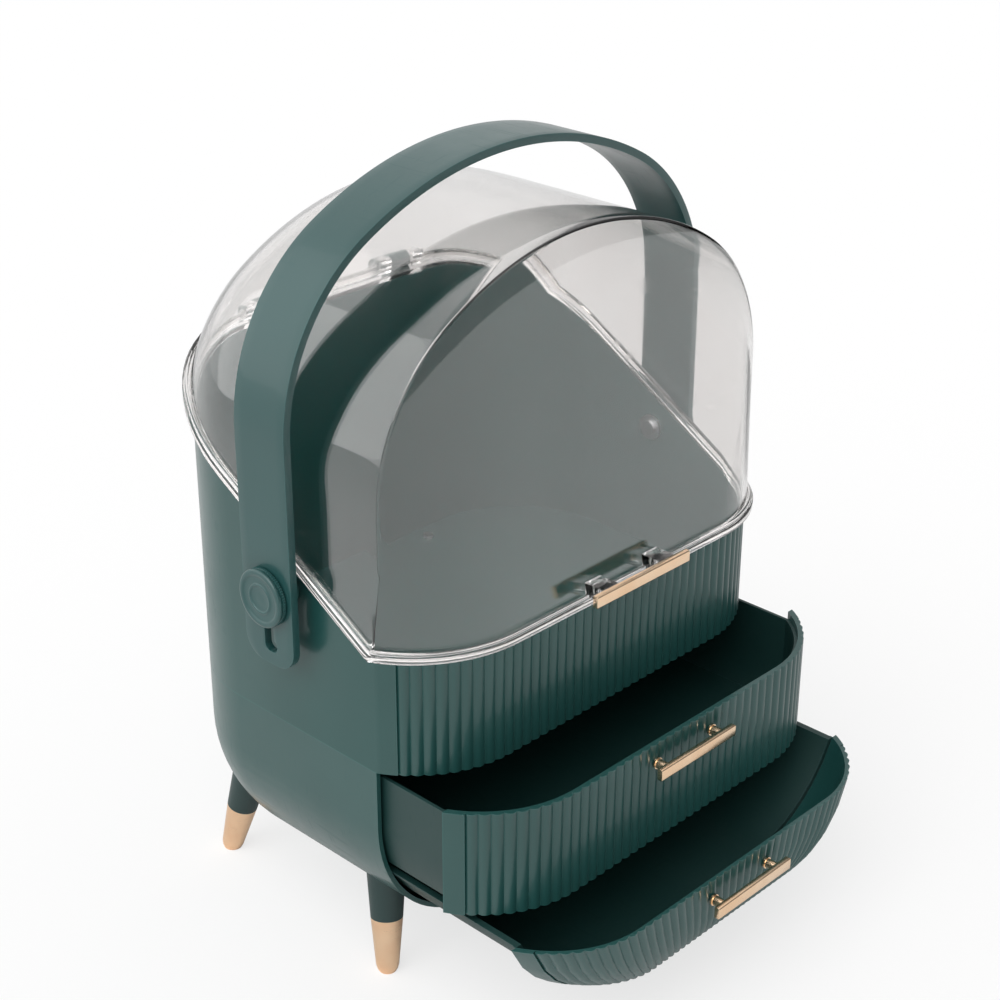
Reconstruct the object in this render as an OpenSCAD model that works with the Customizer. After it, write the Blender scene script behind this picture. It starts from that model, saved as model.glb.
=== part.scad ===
// Vanity organizer on four legs: a fluted open tray under a hinged clear lid,
// a rounded housing below it with two drawers, and a strap handle that lifts and folds back.
// Working frame: X to the right, Y to the back, Z up. The front corners of the body are at y = 0
// and the seam between tray and housing is at z = 0. place() moves this onto the floor.

/* [Body] */
// Width of the body across its flat sides
body_w = 280; // [270:1:292]
// Depth of the body from its front corners to its back
body_d = 176; // [168:1:190]
// How far the front bows out past its corners
front_bow = 35.5; // [32:0.5:38]
// Radius of the bow's two round ends
bow_r = 67; // [62:1:74]
// Radius of the upright corners at the back
back_r = 70; // [62:1:74]
// Thickness of the housing's wall
wall = 2.5; // [2.2:0.1:3]
// Height of the housing's upright sides below the seam
housing_side_h = 34; // [32:1:37]
// Radius at which the housing's sides, back and corners turn under
housing_r = 80; // [76:1:84]

/* [Tray] */
// Height of the tray's front above the seam
tray_front_h = 65; // [62:0.5:74]
// Angle at which the tray's side rims rise to the back
rim_angle = 30.7; // [28:0.1:33]
// Thickness of the tray's wall
tray_wall = 3; // [2.8:0.1:3.6]
// Height of the tray's floor above the seam
tray_floor_z = 3; // [2:0.5:6]
// Thickness of the tray's floor
tray_floor_t = 2.5; // [2:0.1:3.5]

/* [Ribs] */
// Number of ribs across each front
rib_count = 44; // [40:1:48]
// Depth of the valleys between ribs
rib_depth = 1.4; // [1:0.1:1.6]
// Width of the plain strip at each end of a front
plain_strip = 11; // [8:0.5:14]

/* [Lid] */
// Top of the clear lid above the seam
lid_top_h = 250; // [244:1:254]
// Radius of the lid's shoulders
lid_shoulder_r = 92; // [86:1:98]
// Radius of the lid's crown
lid_top_r = 183; // [170:1:200]
// Thickness of the clear wall
lid_wall = 2.2; // [1.8:0.1:2.6]
// How far the lid's upper front edge stands forward of the body's front corners
lid_front_out = 7; // [4:0.5:9]
// How far the lid's rim stands out past the tray's wall
flange_out = 4.5; // [4:0.1:5]
// Thickness of the lid's rim
flange_t = 3; // [2.4:0.1:3.6]
// Height of the bead that stands on the lid's rim
bead_h = 2.6; // [2:0.1:3]
// Distance from the crown's straight part to the lid's back
lid_back_run = 58; // [50:1:64]
// How far the crown drops at the lid's back
lid_back_drop = 66; // [60:1:70]
// How far forward of its back the crown starts to draw in across
lid_back_r = 77; // [72:1:82]

/* [Lid hinges] */
// Distance from the body's middle to each hinge
hinge_x = 50; // [44:1:56]
// Radius of the hinge pins
hinge_pin_r = 1.6; // [1.4:0.1:2]
// Outer radius of the hinge knuckles
knuckle_r = 4.6; // [4.2:0.1:5]
// Width of the tray's knuckle
knuckle_w = 16; // [12:1:20]
// Distance from the tray's back to the hinge axis
hinge_back = 7.5; // [7:0.1:8.5]

/* [Handle] */
// How far the handle's outer face stands out from the body's side
handle_stand = 13.5; // [13:0.5:18]
// Height of the handle's top above the lid's top
handle_rise = 32; // [30:1:38]
// Radius of the handle's shoulders
handle_shoulder_r = 104; // [98:1:108]
// Radius of the handle's top
handle_top_r = 207; // [200:1:216]
// Width of the strap from front to back
strap_w = 36; // [32:0.5:38]
// Thickness of the strap
strap_t = 4.2; // [3.8:0.1:4.6]
// Distance of the pivots behind the body's front corners
pivot_y = 61; // [59:0.5:63]
// Height of the pivots above the seam
pivot_z = 81.5; // [79:0.5:82]
// How far the handle lifts on its pivots
lift = 27.5; // [24:0.5:29]
// Distance from the lowered handle's pivots down to the ends of its legs
leg_below_pivot = 38; // [37:0.5:42]
// Radius of the pivot discs
disc_r = 15.5; // [14:0.5:16]
// Thickness of the pivot discs
disc_t = 5; // [4.5:0.1:6.5]
// Radius of the pivot necks
neck_r = 3.2; // [3:0.1:3.6]

/* [Drawers] */
// Height of the upper drawer's front
upper_front_h = 59; // [57:0.5:60]
// Gap between the tray and the upper drawer's front
front_gap = 1; // [0.8:0.1:1.5]
// Thickness of the drawers' fronts
front_t = 3.2; // [3:0.1:3.6]
// Thickness of the drawers' walls
drawer_wall = 1.8; // [1.6:0.1:2.2]
// Distance from the body's outer face to a drawer's side
drawer_inset = 4.6; // [4.4:0.1:5]
// Depth of the drawers behind the body's front corners
drawer_d = 148; // [130:1:150]
// Height of the lower drawer's top below the seam
lower_top = 64.5; // [64:0.1:66]
// How far the upper drawer stands open
upper_open = 46; // [20:1:60]
// How far the lower drawer stands open
lower_open = 86.5; // [40:0.5:100]

/* [Pulls] */
// Length of the drawers' pull bars
bar_l = 60; // [50:1:70]
// Length of the lid's pull bar
lid_bar_l = 72; // [60:1:84]
// Height of each pull bar
bar_h = 6.5; // [5:0.1:7]
// Thickness of each pull bar
bar_t = 3.2; // [2.6:0.1:4]
// Distance from a drawer's front to the back of its bar
bar_stand = 7; // [6:0.1:8]
// Distance from the body's front to the back of the lid's bar
lid_bar_out = 12.5; // [9:0.1:14]
// Height of the upper drawer's bar below the seam
upper_bar_z = 12; // [10:0.5:40]
// Height of the lower drawer's bar below the seam
lower_bar_z = 76; // [72:0.5:84]
// Distance between a bar's two posts
post_gap = 44; // [36:1:48]
// Radius of a bar's posts
post_r = 2.6; // [2.2:0.1:3]

/* [Legs] */
// Height of the seam above the floor
floor_h = 146; // [144:1:154]
// Distance from the body's middle to a foot
foot_x = 117; // [113:1:119]
// Distance of the front feet behind the body's front corners
foot_y = 21; // [18:1:28]
// How far a front leg's top stands in from its foot, across and front to back
leg_splay = 10; // [8:1:14]
// Distance of the back feet from the middles of the body's round back corners
back_foot_reach = 71.8; // [69:0.2:74]
// Direction from there to a back foot, turned from sideways towards the back
back_foot_turn = 62; // [45:1:70]
// How far a back leg's top stands in from its foot
back_leg_splay = 20; // [19:1:26]
// Radius at a leg's top
leg_top_r = 12; // [11:0.1:12.6]
// Radius at a leg's foot
leg_foot_r = 6.3; // [6:0.1:8]
// Length of the metal tip
tip_l = 31.5; // [28:0.5:36]
// Radius of the spigot that holds the tip
spigot_r = 5; // [4:0.1:5.6]

/* [Hidden] */
$fn = 48;

green = [0.16, 0.25, 0.24];
gold = [0.86, 0.67, 0.47];
clear = [0.86, 0.87, 0.89, 0.35];
steel = [0.68, 0.69, 0.70];

running_gap = 0.05;
joint_gap = 0.3;
small_gap = 0.1;
big = 600;

half_w = body_w / 2;
arc_dx = sqrt(pow(bow_r, 2) - pow(bow_r - front_bow, 2));
flat_x = half_w - arc_dx;
to_deg = 180 / PI;
rim_slope = tan(rim_angle);
housing_h = housing_side_h + housing_r;

rib_segments = 6;
end_arc_steps = 4;
corner_steps = 20;

// Distance along the bow, from its middle, at which the curve set in by inset meets the side
function end_s(inset) = flat_x + bow_r * asin((arc_dx - inset) / (bow_r - inset)) / to_deg;

// Point at distance s along the bow, set out by off
function bow(s, off) =
    let (turn = max(abs(s) - flat_x, 0) / bow_r * to_deg, side = s < 0 ? -1 : 1)
    [side * (min(abs(s), flat_x) + (bow_r + off) * sin(turn)),
     bow_r - front_bow - (bow_r + off) * cos(turn)];

rib_span = 2 * (end_s(0) - plain_strip);
rib_pitch = rib_span / rib_count;
rib_steps = rib_count * rib_segments;
function rib_off(k, segments) =
    -rib_depth * pow(2 * (k % segments) / segments - 1, 2);
function rib_s(k, segments) = rib_span * (k / (rib_count * segments) - 0.5);

// Stations along a ribbed front from left to right, each as [distance along the bow, offset]
function ribbed_stations(segments) = concat(
    [for (i = [0 : end_arc_steps]) [-end_s(0) + plain_strip * i / end_arc_steps, 0]],
    [for (k = [0 : rib_count * segments]) [rib_s(k, segments), rib_off(k, segments)]],
    [for (i = [end_arc_steps : -1 : 0]) [end_s(0) - plain_strip * i / end_arc_steps, 0]]);
function ribbed_front() = [for (p = ribbed_stations(rib_segments)) bow(p[0], p[1])];
function plain_front(inset) =
    [for (i = [-24 : 24]) bow(end_s(inset) * i / 24, -inset)];

function arc(cx, cy, r, from, to) = [for (i = [0 : corner_steps])
    let (a = from + (to - from) * i / corner_steps) [cx + r * cos(a), cy + r * sin(a)]];

// The body's outline seen from above, set in by inset all round
function back_corners(inset) = concat(
    arc(half_w - back_r, body_d - back_r, back_r - inset, 0, 90),
    arc(back_r - half_w, body_d - back_r, back_r - inset, 90, 180));
module plan(inset) { polygon(concat(plain_front(inset), back_corners(inset))); }
module ribbed_plan() { polygon(concat(ribbed_front(), back_corners(0))); }

// The housing's outline seen from the front, set in by inset
function u_outline(inset) = concat([[half_w - inset, 1], [inset - half_w, 1]],
    arc(housing_r - half_w, -housing_side_h, housing_r - inset, 180, 270),
    arc(half_w - housing_r, -housing_side_h, housing_r - inset, 270, 360));
module along_y(y0, y1) { translate([0, y1, 0]) rotate([90, 0, 0]) linear_extrude(y1 - y0) children(); }
module along_x(x0, x1) { translate([x0, 0, 0]) rotate([90, 0, 90]) linear_extrude(x1 - x0) children(); }
module u_solid(inset, y0, y1) { along_y(y0, y1) polygon(u_outline(inset)); }
module slab(z0, z1) { translate([-big / 2, -big / 2, z0]) cube([big, big, z1 - z0]); }

// Height of the tray's rim at y
function rim_z(y) = tray_front_h + rim_slope * max(y, 0);
// Side view of the layer between two distances above the rim
module rim_layer(low, high) {
    along_x(-big / 2, big / 2) polygon([
        [-big / 2, tray_front_h + low], [0, tray_front_h + low], [big / 2, rim_z(big / 2) + low],
        [big / 2, rim_z(big / 2) + high], [0, tray_front_h + high], [-big / 2, tray_front_h + high]]);
}

// Where the finished part stands: on its feet, with the middle of its outer box over the origin
front_most = -front_bow - lower_open - bar_stand - bar_t;
hinge_y = body_d + hinge_back;
hinge_z = rim_z(hinge_y) + flange_t / 2;
back_most = hinge_y + knuckle_r;
module place() { translate([0, -(front_most + back_most) / 2, floor_h]) children(); }

// Housing

floor_rib_x = 42;
floor_rib_w = 4;
boss_x = half_w - back_r - 20;
boss_y = body_d - 14;
boss_r = 5;
boss_h = 16;
tray_screw_r = 1.5;
tray_screw_head_r = 3.2;
tray_screw_head_h = 2;

// Side of a round back corner of the housing, turned about the corner's middle
function corner_profile(inset) = let (r = housing_r - inset,
        points = arc(back_r - housing_r, -housing_side_h, r, 360, 270),
        last = max([for (i = [0 : corner_steps]) if (points[i][0] > 0) i]),
        share = points[last][0] / (points[last][0] - points[last + 1][0]))
    concat([[0, 1], [0, points[last][1] + share * (points[last + 1][1] - points[last][1])]],
        [for (i = [last : -1 : 0]) points[i]], [[back_r - inset, 1]]);
// The housing's round form from y0 to the back, set in by inset and open at its top
module housing_bowl(inset, y0) {
    intersection() {
        u_solid(inset, y0, body_d + 1);
        along_x(-big / 2, big / 2) polygon(concat([[y0, 1], [y0, inset - housing_h]],
            arc(body_d - housing_r, -housing_side_h, housing_r - inset, 270, 360),
            [[body_d - inset, 1]]));
        // All but the two back corners
        translate([0, 0, -big / 2]) linear_extrude(big) polygon([
            [-half_w - 1, y0 - 1], [half_w + 1, y0 - 1], [half_w + 1, body_d - back_r],
            [half_w - back_r, body_d - back_r], [half_w - back_r, body_d + 1],
            [back_r - half_w, body_d + 1], [back_r - half_w, body_d - back_r],
            [-half_w - 1, body_d - back_r]]);
    }
    for (side = [-1, 1]) translate([side * (half_w - back_r), body_d - back_r, 0])
        rotate_extrude($fn = 4 * corner_steps) polygon(corner_profile(inset));
}
module housing_form(inset, y0) {
    intersection() {
        housing_bowl(inset, y0);
        slab(-big / 2, 0);
    }
}
module tray_boss_places() { for (side = [-1, 1]) translate([side * boss_x, boss_y, 0]) children(); }

module lower_housing() {
    color(green) place() difference() {
        union() {
            difference() {
                housing_form(0, 0);
                housing_bowl(wall, -2);
            }
            // Two glide ribs on the floor carry the lower drawer
            for (side = [-1, 1])
                translate([side * floor_rib_x - floor_rib_w / 2, 4, wall - housing_h - 0.5])
                    cube([floor_rib_w, body_d - housing_r - 4, drawer_inset - wall - joint_gap + 0.5]);
            // Two screw bosses join the tray behind the drawers
            intersection() {
                union() {
                    tray_boss_places() translate([0, 0, -boss_h]) cylinder(r = boss_r, h = boss_h);
                    for (side = [-1, 1])
                        translate([side * boss_x - 1.5, boss_y, -boss_h])
                            cube([3, body_d - wall - boss_y + 0.5, boss_h]);
                }
                housing_form(wall / 2, 1);
            }
        }
        tray_boss_places() translate([0, 0, -boss_h - 1])
            cylinder(r = tray_screw_r + running_gap, h = boss_h + 2);
        leg_screw_places() leg_screw(running_gap);
    }
}

rail_w = 8;
rail_h = 2.4;
rail_past_corner = 16;
upper_floor_z = -(front_gap + upper_front_h) + 1.2;
module drawer_rail(side) {
    color(green) place() intersection() {
        difference() {
            housing_bowl(wall + running_gap, 6);
            u_solid(wall + rail_w, 5, body_d);
        }
        translate([0, body_d - back_r + rail_past_corner - big, 0]) cube([big, 2 * big, 2 * big], center = true);
        slab(upper_floor_z - joint_gap - rail_h, upper_floor_z - joint_gap);
        translate([side > 0 ? 0 : -big / 2, 0, -big / 2]) cube([big / 2, big, big]);
    }
}
module drawer_rail_left() { drawer_rail(-1); }
module drawer_rail_right() { drawer_rail(1); }

// Tray

handle_half_w = body_w / 2 + handle_stand;
post_out = handle_half_w - strap_t - joint_gap;
post_boss_r = 8;
tongue_t = 1.3;
tongue_h = 3.2;
hinge_web = 9;

module knuckle(x0, x1) {
    translate([x0, hinge_y, hinge_z]) rotate([0, 90, 0]) cylinder(r = knuckle_r, h = x1 - x0);
}
module tray_knuckle(middle) {
    difference() {
        union() {
            knuckle(middle - knuckle_w / 2, middle + knuckle_w / 2);
            along_x(middle - knuckle_w / 2, middle + knuckle_w / 2) polygon([
                [body_d - 1, rim_z(body_d) - 3 * hinge_web], [body_d - 1, rim_z(body_d) - hinge_web / 2],
                [hinge_y, hinge_z - knuckle_r / 2], [hinge_y + knuckle_r, hinge_z],
                [hinge_y + knuckle_r, hinge_z - hinge_web / 2]]);
        }
        translate([middle - knuckle_w, hinge_y, hinge_z]) rotate([0, 90, 0])
            cylinder(r = hinge_pin_r + running_gap, h = 2 * knuckle_w);
    }
}

module upper_tray() {
    color(green) place() {
        difference() {
            union() {
                difference() {
                    linear_extrude(rim_z(body_d)) ribbed_plan();
                    translate([0, 0, tray_floor_z + tray_floor_t]) linear_extrude(big) plan(tray_wall);
                    translate([0, 0, -1]) linear_extrude(tray_floor_z + 1) plan(tray_wall);
                    rim_layer(0, big);
                }
                for (side = [-1, 1]) {
                    // Boss that carries the handle's pivot
                    translate([side * (half_w - 1), pivot_y, pivot_z]) rotate([0, side * 90, 0])
                        cylinder(r = post_boss_r, h = post_out - half_w + 1);
                    // Tongue that locates the tray in the housing
                    translate([side * (half_w - wall - joint_gap - tongue_t / 2) - tongue_t / 2,
                        20, -tongue_h])
                        cube([tongue_t, body_d - back_r - 24, tongue_h + tray_floor_z + 1]);
                    tray_knuckle(side * hinge_x);
                }
                tray_boss_places() cylinder(r = boss_r, h = tray_floor_z + 1);
            }
            for (side = [-1, 1])
                translate([side * (half_w - tray_wall - 2), pivot_y, pivot_z]) rotate([0, side * 90, 0])
                    cylinder(r = neck_r + running_gap, h = post_out);
            tray_boss_places() translate([0, 0, -1])
                cylinder(r = tray_screw_r + running_gap, h = tray_floor_z + tray_floor_t + 2);
        }
    }
}

module tray_screws() {
    color(steel) place() tray_boss_places() {
        translate([0, 0, -boss_h + 2]) cylinder(r = tray_screw_r, h = boss_h + tray_floor_z + tray_floor_t - 2);
        translate([0, 0, tray_floor_z + tray_floor_t])
            cylinder(r = tray_screw_head_r, h = tray_screw_head_h);
    }
}

// Clear lid

lid_out = 1;
lid_half_w = half_w + lid_out;
lid_back_y = body_d + lid_out;
lid_columns = 22;
lid_rows = 13;
lid_front_rows = 3;
lid_foot_in = joint_gap + flange_t / 2;
crown_turn = asin((lid_half_w - lid_shoulder_r) / (lid_top_r - lid_shoulder_r));
spring_z = lid_top_h - lid_top_r + (lid_top_r - lid_shoulder_r) * cos(crown_turn);
function foot_z(y) = rim_z(y) + lid_foot_in;

// Point of the front arch at distance l from its crown, set in by inset
function arch_point(l, inset) =
    let (top_r = lid_top_r - inset, shoulder_r = lid_shoulder_r - inset,
         crown_l = top_r * crown_turn / to_deg,
         shoulder_l = shoulder_r * (90 - crown_turn) / to_deg)
    l < crown_l ?
        let (a = l / top_r * to_deg)
        [top_r * sin(a), lid_top_h - lid_top_r + top_r * cos(a)]
    : l < crown_l + shoulder_l ?
        let (a = crown_turn + (l - crown_l) / shoulder_r * to_deg)
        [lid_half_w - lid_shoulder_r + shoulder_r * sin(a), spring_z + shoulder_r * cos(a)]
    : [lid_half_w - inset, spring_z - (l - crown_l - shoulder_l)];
// Length of the arch from its crown down to height z
function arch_length(z, inset) =
    let (top_r = lid_top_r - inset, shoulder_r = lid_shoulder_r - inset)
    top_r * crown_turn / to_deg + (z < spring_z ?
        shoulder_r * (90 - crown_turn) / to_deg + spring_z - z
        : shoulder_r * (acos((z - spring_z) / shoulder_r) - crown_turn) / to_deg);

// Stations of the lid from its front arch to its back, closer together where it curves
function station_y(row, inset) =
    let (start = -lid_front_out + inset, bend = lid_back_y - lid_back_r, end = lid_back_y - inset,
         half = floor(lid_rows / 3))
    row <= half ? start + (bend - start) * row / half
    : bend + (end - bend) * sin(90 * (row - half) / (lid_rows - half));
function back_share(y, run, inset) =
    let (u = max(0, y - (lid_back_y - run)) / (run - inset)) sqrt(max(0, 1 - u * u));
function lid_width_share(y, inset) =
    1 - (1 - back_share(y, lid_back_r, inset)) * lid_back_r / lid_half_w;
// The rim follows the body's corners, where the arch is this much narrower or wider
function plan_half_w(y, inset) = let (dy = max(0, y - (body_d - back_r)), r = back_r + lid_out - inset)
    half_w - back_r + sqrt(max(0, r * r - min(dy, r) * min(dy, r)));
function lid_crown_z(y, inset) =
    lid_top_h - inset - lid_back_drop * (1 - back_share(y, lid_back_run, inset));

function dome_point(row, column, inset) =
    let (y = station_y(row, inset), base = foot_z(y),
         side = column - lid_columns, share = abs(side) / lid_columns,
         p = arch_point(arch_length(base, inset) * share, inset),
         rise = (lid_crown_z(y, inset) - base) / (lid_top_h - inset - base),
         feet = row == 0 ? min(1, max(0, (p[1] - base) / lid_front_out / 6)) : 1)
    let (foot_share = plan_half_w(y, inset) / arch_point(arch_length(base, inset), inset)[0],
         crown_share = lid_width_share(y, inset))
    [sign(side) * p[0] * (crown_share + (foot_share - crown_share) * pow(share, 3)),
     y * (row == 0 ? feet : 1),
     (feet < 1 ? foot_z(0) : base) + (p[1] - base) * rise];

// Point of the front panel, which runs from the bowed rim up to the flat arch
function panel_point(row, column, inset) =
    let (top = dome_point(0, column, inset), share = row / lid_front_rows,
         foot = bow(end_s(inset - 1) * (column - lid_columns) / lid_columns, 1 - inset))
    [foot[0] + (top[0] - foot[0]) * share, foot[1] + (top[1] - foot[1]) * share,
     foot_z(0) + (top[2] - foot_z(0)) * share];

lid_row_size = 2 * lid_columns + 1;
function lid_skin(inset) = concat(
    [for (row = [0 : lid_front_rows - 1]) for (column = [0 : 2 * lid_columns])
        panel_point(row, column, inset)],
    [for (row = [0 : lid_rows]) for (column = [0 : 2 * lid_columns])
        dome_point(row, column, inset)]);
lid_all_rows = lid_front_rows + lid_rows;
lid_skin_size = (lid_all_rows + 1) * lid_row_size;
// The panel's rows share the arch's end points, so their own end points aren't used
function lid_index(row, column, skin) = skin * lid_skin_size +
    (row < lid_front_rows && (column == 0 || column == 2 * lid_columns) ?
        lid_front_rows * lid_row_size + column : row * lid_row_size + column);
function turned(face, flip) = flip ? [face[2], face[1], face[0]] : face;
function proper(face) = face[0] != face[1] && face[1] != face[2] && face[2] != face[0];
function quad_faces(a, b, c, d, flip) =
    [for (face = [[a, b, c], [a, c, d]]) if (proper(face)) turned(face, flip)];
function lid_skin_faces(skin, flip) = [
    for (row = [0 : lid_all_rows - 1]) for (column = [0 : 2 * lid_columns - 1])
        each quad_faces(lid_index(row, column, skin), lid_index(row, column + 1, skin),
            lid_index(row + 1, column + 1, skin), lid_index(row + 1, column, skin), flip)];
function lid_back_faces(skin, flip) = [for (column = [1 : 2 * lid_columns - 1])
    turned([lid_index(lid_all_rows, 0, skin), lid_index(lid_all_rows, column, skin),
        lid_index(lid_all_rows, column + 1, skin)], flip)];
function lid_foot_faces() = concat(
    [for (column = [0 : 2 * lid_columns - 1])
        each quad_faces(lid_index(0, column + 1, 0), lid_index(0, column, 0),
            lid_index(0, column, 1), lid_index(0, column + 1, 1), false)],
    [for (row = [lid_front_rows : lid_all_rows - 1])
        each quad_faces(lid_index(row, 0, 0), lid_index(row + 1, 0, 0),
            lid_index(row + 1, 0, 1), lid_index(row, 0, 1), false)],
    [for (row = [lid_front_rows : lid_all_rows - 1])
        each quad_faces(lid_index(row + 1, 2 * lid_columns, 0), lid_index(row, 2 * lid_columns, 0),
            lid_index(row, 2 * lid_columns, 1), lid_index(row + 1, 2 * lid_columns, 1), false)],
    quad_faces(lid_index(lid_all_rows, 0, 0), lid_index(lid_all_rows, 2 * lid_columns, 0),
        lid_index(lid_all_rows, 2 * lid_columns, 1), lid_index(lid_all_rows, 0, 1), false));
module lid_dome() {
    polyhedron(points = concat(lid_skin(0), lid_skin(lid_wall)),
        faces = [for (face = concat(lid_skin_faces(0, false), lid_back_faces(0, false),
            lid_skin_faces(1, true), lid_back_faces(1, true), lid_foot_faces())) turned(face, true)]);
}

module rim_ring(outset, inset, low, high) {
    intersection() {
        linear_extrude(big / 2) difference() {
            plan(-outset);
            plan(inset);
        }
        rim_layer(low, high);
    }
}
lug_gap = 0.3;
lid_lug_w = 8;
bar_face_y = front_bow + lid_bar_out;
lug_h = 5.6;
lid_bar_z = tray_front_h + joint_gap + flange_t + bead_h + lug_h / 2;
lug_w = 12;

module clear_lid() {
    color(clear) place() difference() {
        union() {
            lid_dome();
            rim_ring(flange_out, tray_wall, joint_gap, joint_gap + flange_t);
            rim_ring(flange_out - 1.4, -1.6, joint_gap, joint_gap + flange_t + bead_h);
            for (middle = [-hinge_x, hinge_x], side = [-1, 1]) {
                near = middle + side * (knuckle_w / 2 + lug_gap);
                low = min(near, near + side * lid_lug_w);
                knuckle(low, low + lid_lug_w);
                along_x(low, low + lid_lug_w) polygon([
                    [body_d, rim_z(body_d) + joint_gap], [hinge_y, hinge_z - flange_t / 2 + joint_gap],
                    [hinge_y, hinge_z + knuckle_r], [body_d, rim_z(body_d) + flange_t + bead_h]]);
            }
            // Two clear lugs hold the pull bar
            for (side = [-1, 1])
                along_x(side * post_gap / 2 - lug_w / 2, side * post_gap / 2 + lug_w / 2) polygon([
                    [-bar_face_y, lid_bar_z - lug_h / 2], [-front_bow, lid_bar_z - lug_h / 2 - bead_h],
                    [-front_bow, lid_bar_z + lug_h / 2], [-bar_face_y, lid_bar_z + lug_h / 2]]);
        }
        // Notches clear the tray's knuckles
        for (middle = [-hinge_x, hinge_x])
            translate([middle - knuckle_w / 2 - lug_gap, hinge_y - knuckle_r - 0.7, hinge_z - 30])
                cube([knuckle_w + 2 * lug_gap, 40, 60]);
        for (middle = [-hinge_x, hinge_x])
            translate([middle - knuckle_w * 1.5, hinge_y, hinge_z]) rotate([0, 90, 0])
                cylinder(r = hinge_pin_r + running_gap, h = 3 * knuckle_w);
    }
}

pin_l = knuckle_w + 2 * (lug_gap + lid_lug_w) + 1;
module hinge_pin(middle) {
    color(steel) place() translate([middle - pin_l / 2, hinge_y, hinge_z]) rotate([0, 90, 0])
        cylinder(r = hinge_pin_r, h = pin_l);
}
module hinge_pin_left() { hinge_pin(-hinge_x); }
module hinge_pin_right() { hinge_pin(hinge_x); }

// Pulls

// A bar with rounded front edges: its back is at y = 0 and its middle at the origin
module pull_bar(length) {
    along_x(-length / 2, length / 2) polygon([
        [0, -bar_h / 2], [0, bar_h / 2], [0.8 - bar_t, bar_h / 2], [0.2 - bar_t, bar_h / 2 - 0.4],
        [-bar_t, bar_h / 2 - 1.2], [-bar_t, 1.2 - bar_h / 2], [0.2 - bar_t, 0.4 - bar_h / 2],
        [0.8 - bar_t, -bar_h / 2]]);
}
module lid_pull_bar() {
    color(gold) place() translate([0, -bar_face_y, lid_bar_z]) pull_bar(lid_bar_l);
}

pull_screw_r = 1.2;
pull_screw_head_r = 2.6;
pull_screw_head_t = 1.4;
module post_places() { for (side = [-1, 1]) translate([side * post_gap / 2, 0, 0]) children(); }
// A drawer's pull: its posts run back to y = depth, where they meet the drawer's front
module drawer_pull(depth) {
    difference() {
        union() {
            pull_bar(bar_l);
            post_places() translate([0, -0.5, 0]) rotate([-90, 0, 0]) cylinder(r = post_r, h = depth + 0.5);
        }
        post_places() translate([0, depth - 5, 0]) rotate([-90, 0, 0])
            cylinder(r = pull_screw_r + running_gap, h = 6);
    }
}
module pull_screws(depth, thickness) {
    post_places() {
        translate([0, depth - 4, 0]) rotate([-90, 0, 0]) cylinder(r = pull_screw_r, h = 4 + thickness);
        translate([0, depth + thickness, 0]) rotate([-90, 0, 0])
            cylinder(r = pull_screw_head_r, h = pull_screw_head_t);
    }
}
module pull_screw_holes() {
    post_places() rotate([-90, 0, 0]) cylinder(r = pull_screw_r + small_gap, h = 30, center = true, $fn = 12);
}

// Handle

handle_top_h = lid_top_h + handle_rise;
handle_c_x = handle_half_w - handle_shoulder_r;
handle_turn = acos(handle_c_x / (handle_top_r - handle_shoulder_r));
handle_spring_z = handle_top_h - handle_top_r + (handle_top_r - handle_shoulder_r) * sin(handle_turn);
handle_steps = 16;
function handle_side(inset, low) = concat([[handle_half_w - inset, low]],
    [for (i = [0 : handle_steps]) let (a = handle_turn * i / handle_steps, r = handle_shoulder_r - inset)
        [handle_c_x + r * cos(a), handle_spring_z + r * sin(a)]],
    [for (i = [1 : handle_steps]) let (a = handle_turn + (90 - handle_turn) * i / handle_steps,
        r = handle_top_r - inset) [r * cos(a), handle_top_h - handle_top_r + r * sin(a)]]);
function mirrored(points) = [for (i = [len(points) - 1 : -1 : 0]) [-points[i][0], points[i][1]]];
function handle_outline(inset, low) = concat(handle_side(inset, low), mirrored(handle_side(inset, low)));
leg_corner_r = 12;
slot_r = neck_r + joint_gap;
slot_hook = 2.2;

module strap_side_view() {
    low = pivot_z - leg_below_pivot;
    along_x(-big / 2, big / 2) polygon(concat(
        arc(pivot_y - strap_w / 2 + leg_corner_r, low + leg_corner_r, leg_corner_r, 180, 270),
        arc(pivot_y + strap_w / 2 - leg_corner_r, low + leg_corner_r, leg_corner_r, 270, 360),
        [[pivot_y + strap_w / 2, handle_top_h + 1], [pivot_y - strap_w / 2, handle_top_h + 1]]));
}
module handle_strap() {
    color(green) place() difference() {
        intersection() {
            along_y(pivot_y - strap_w, pivot_y + strap_w) difference() {
                polygon(handle_outline(0, 0));
                polygon(handle_outline(strap_t, -1));
            }
            strap_side_view();
        }
        // Slots in which the pivots' necks slide, with a small forward hook at the foot
        translate([-big / 2, pivot_y, pivot_z]) rotate([0, 90, 0]) cylinder(r = slot_r, h = big);
        translate([-big / 2, pivot_y, pivot_z - lift]) rotate([0, 90, 0]) cylinder(r = slot_r, h = big);
        translate([-big / 2, pivot_y - slot_hook, pivot_z - lift]) rotate([0, 90, 0])
            cylinder(r = slot_r, h = big);
        translate([-big / 2, pivot_y - slot_r, pivot_z - lift]) cube([big, 2 * slot_r, lift]);
    }
}

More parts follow.
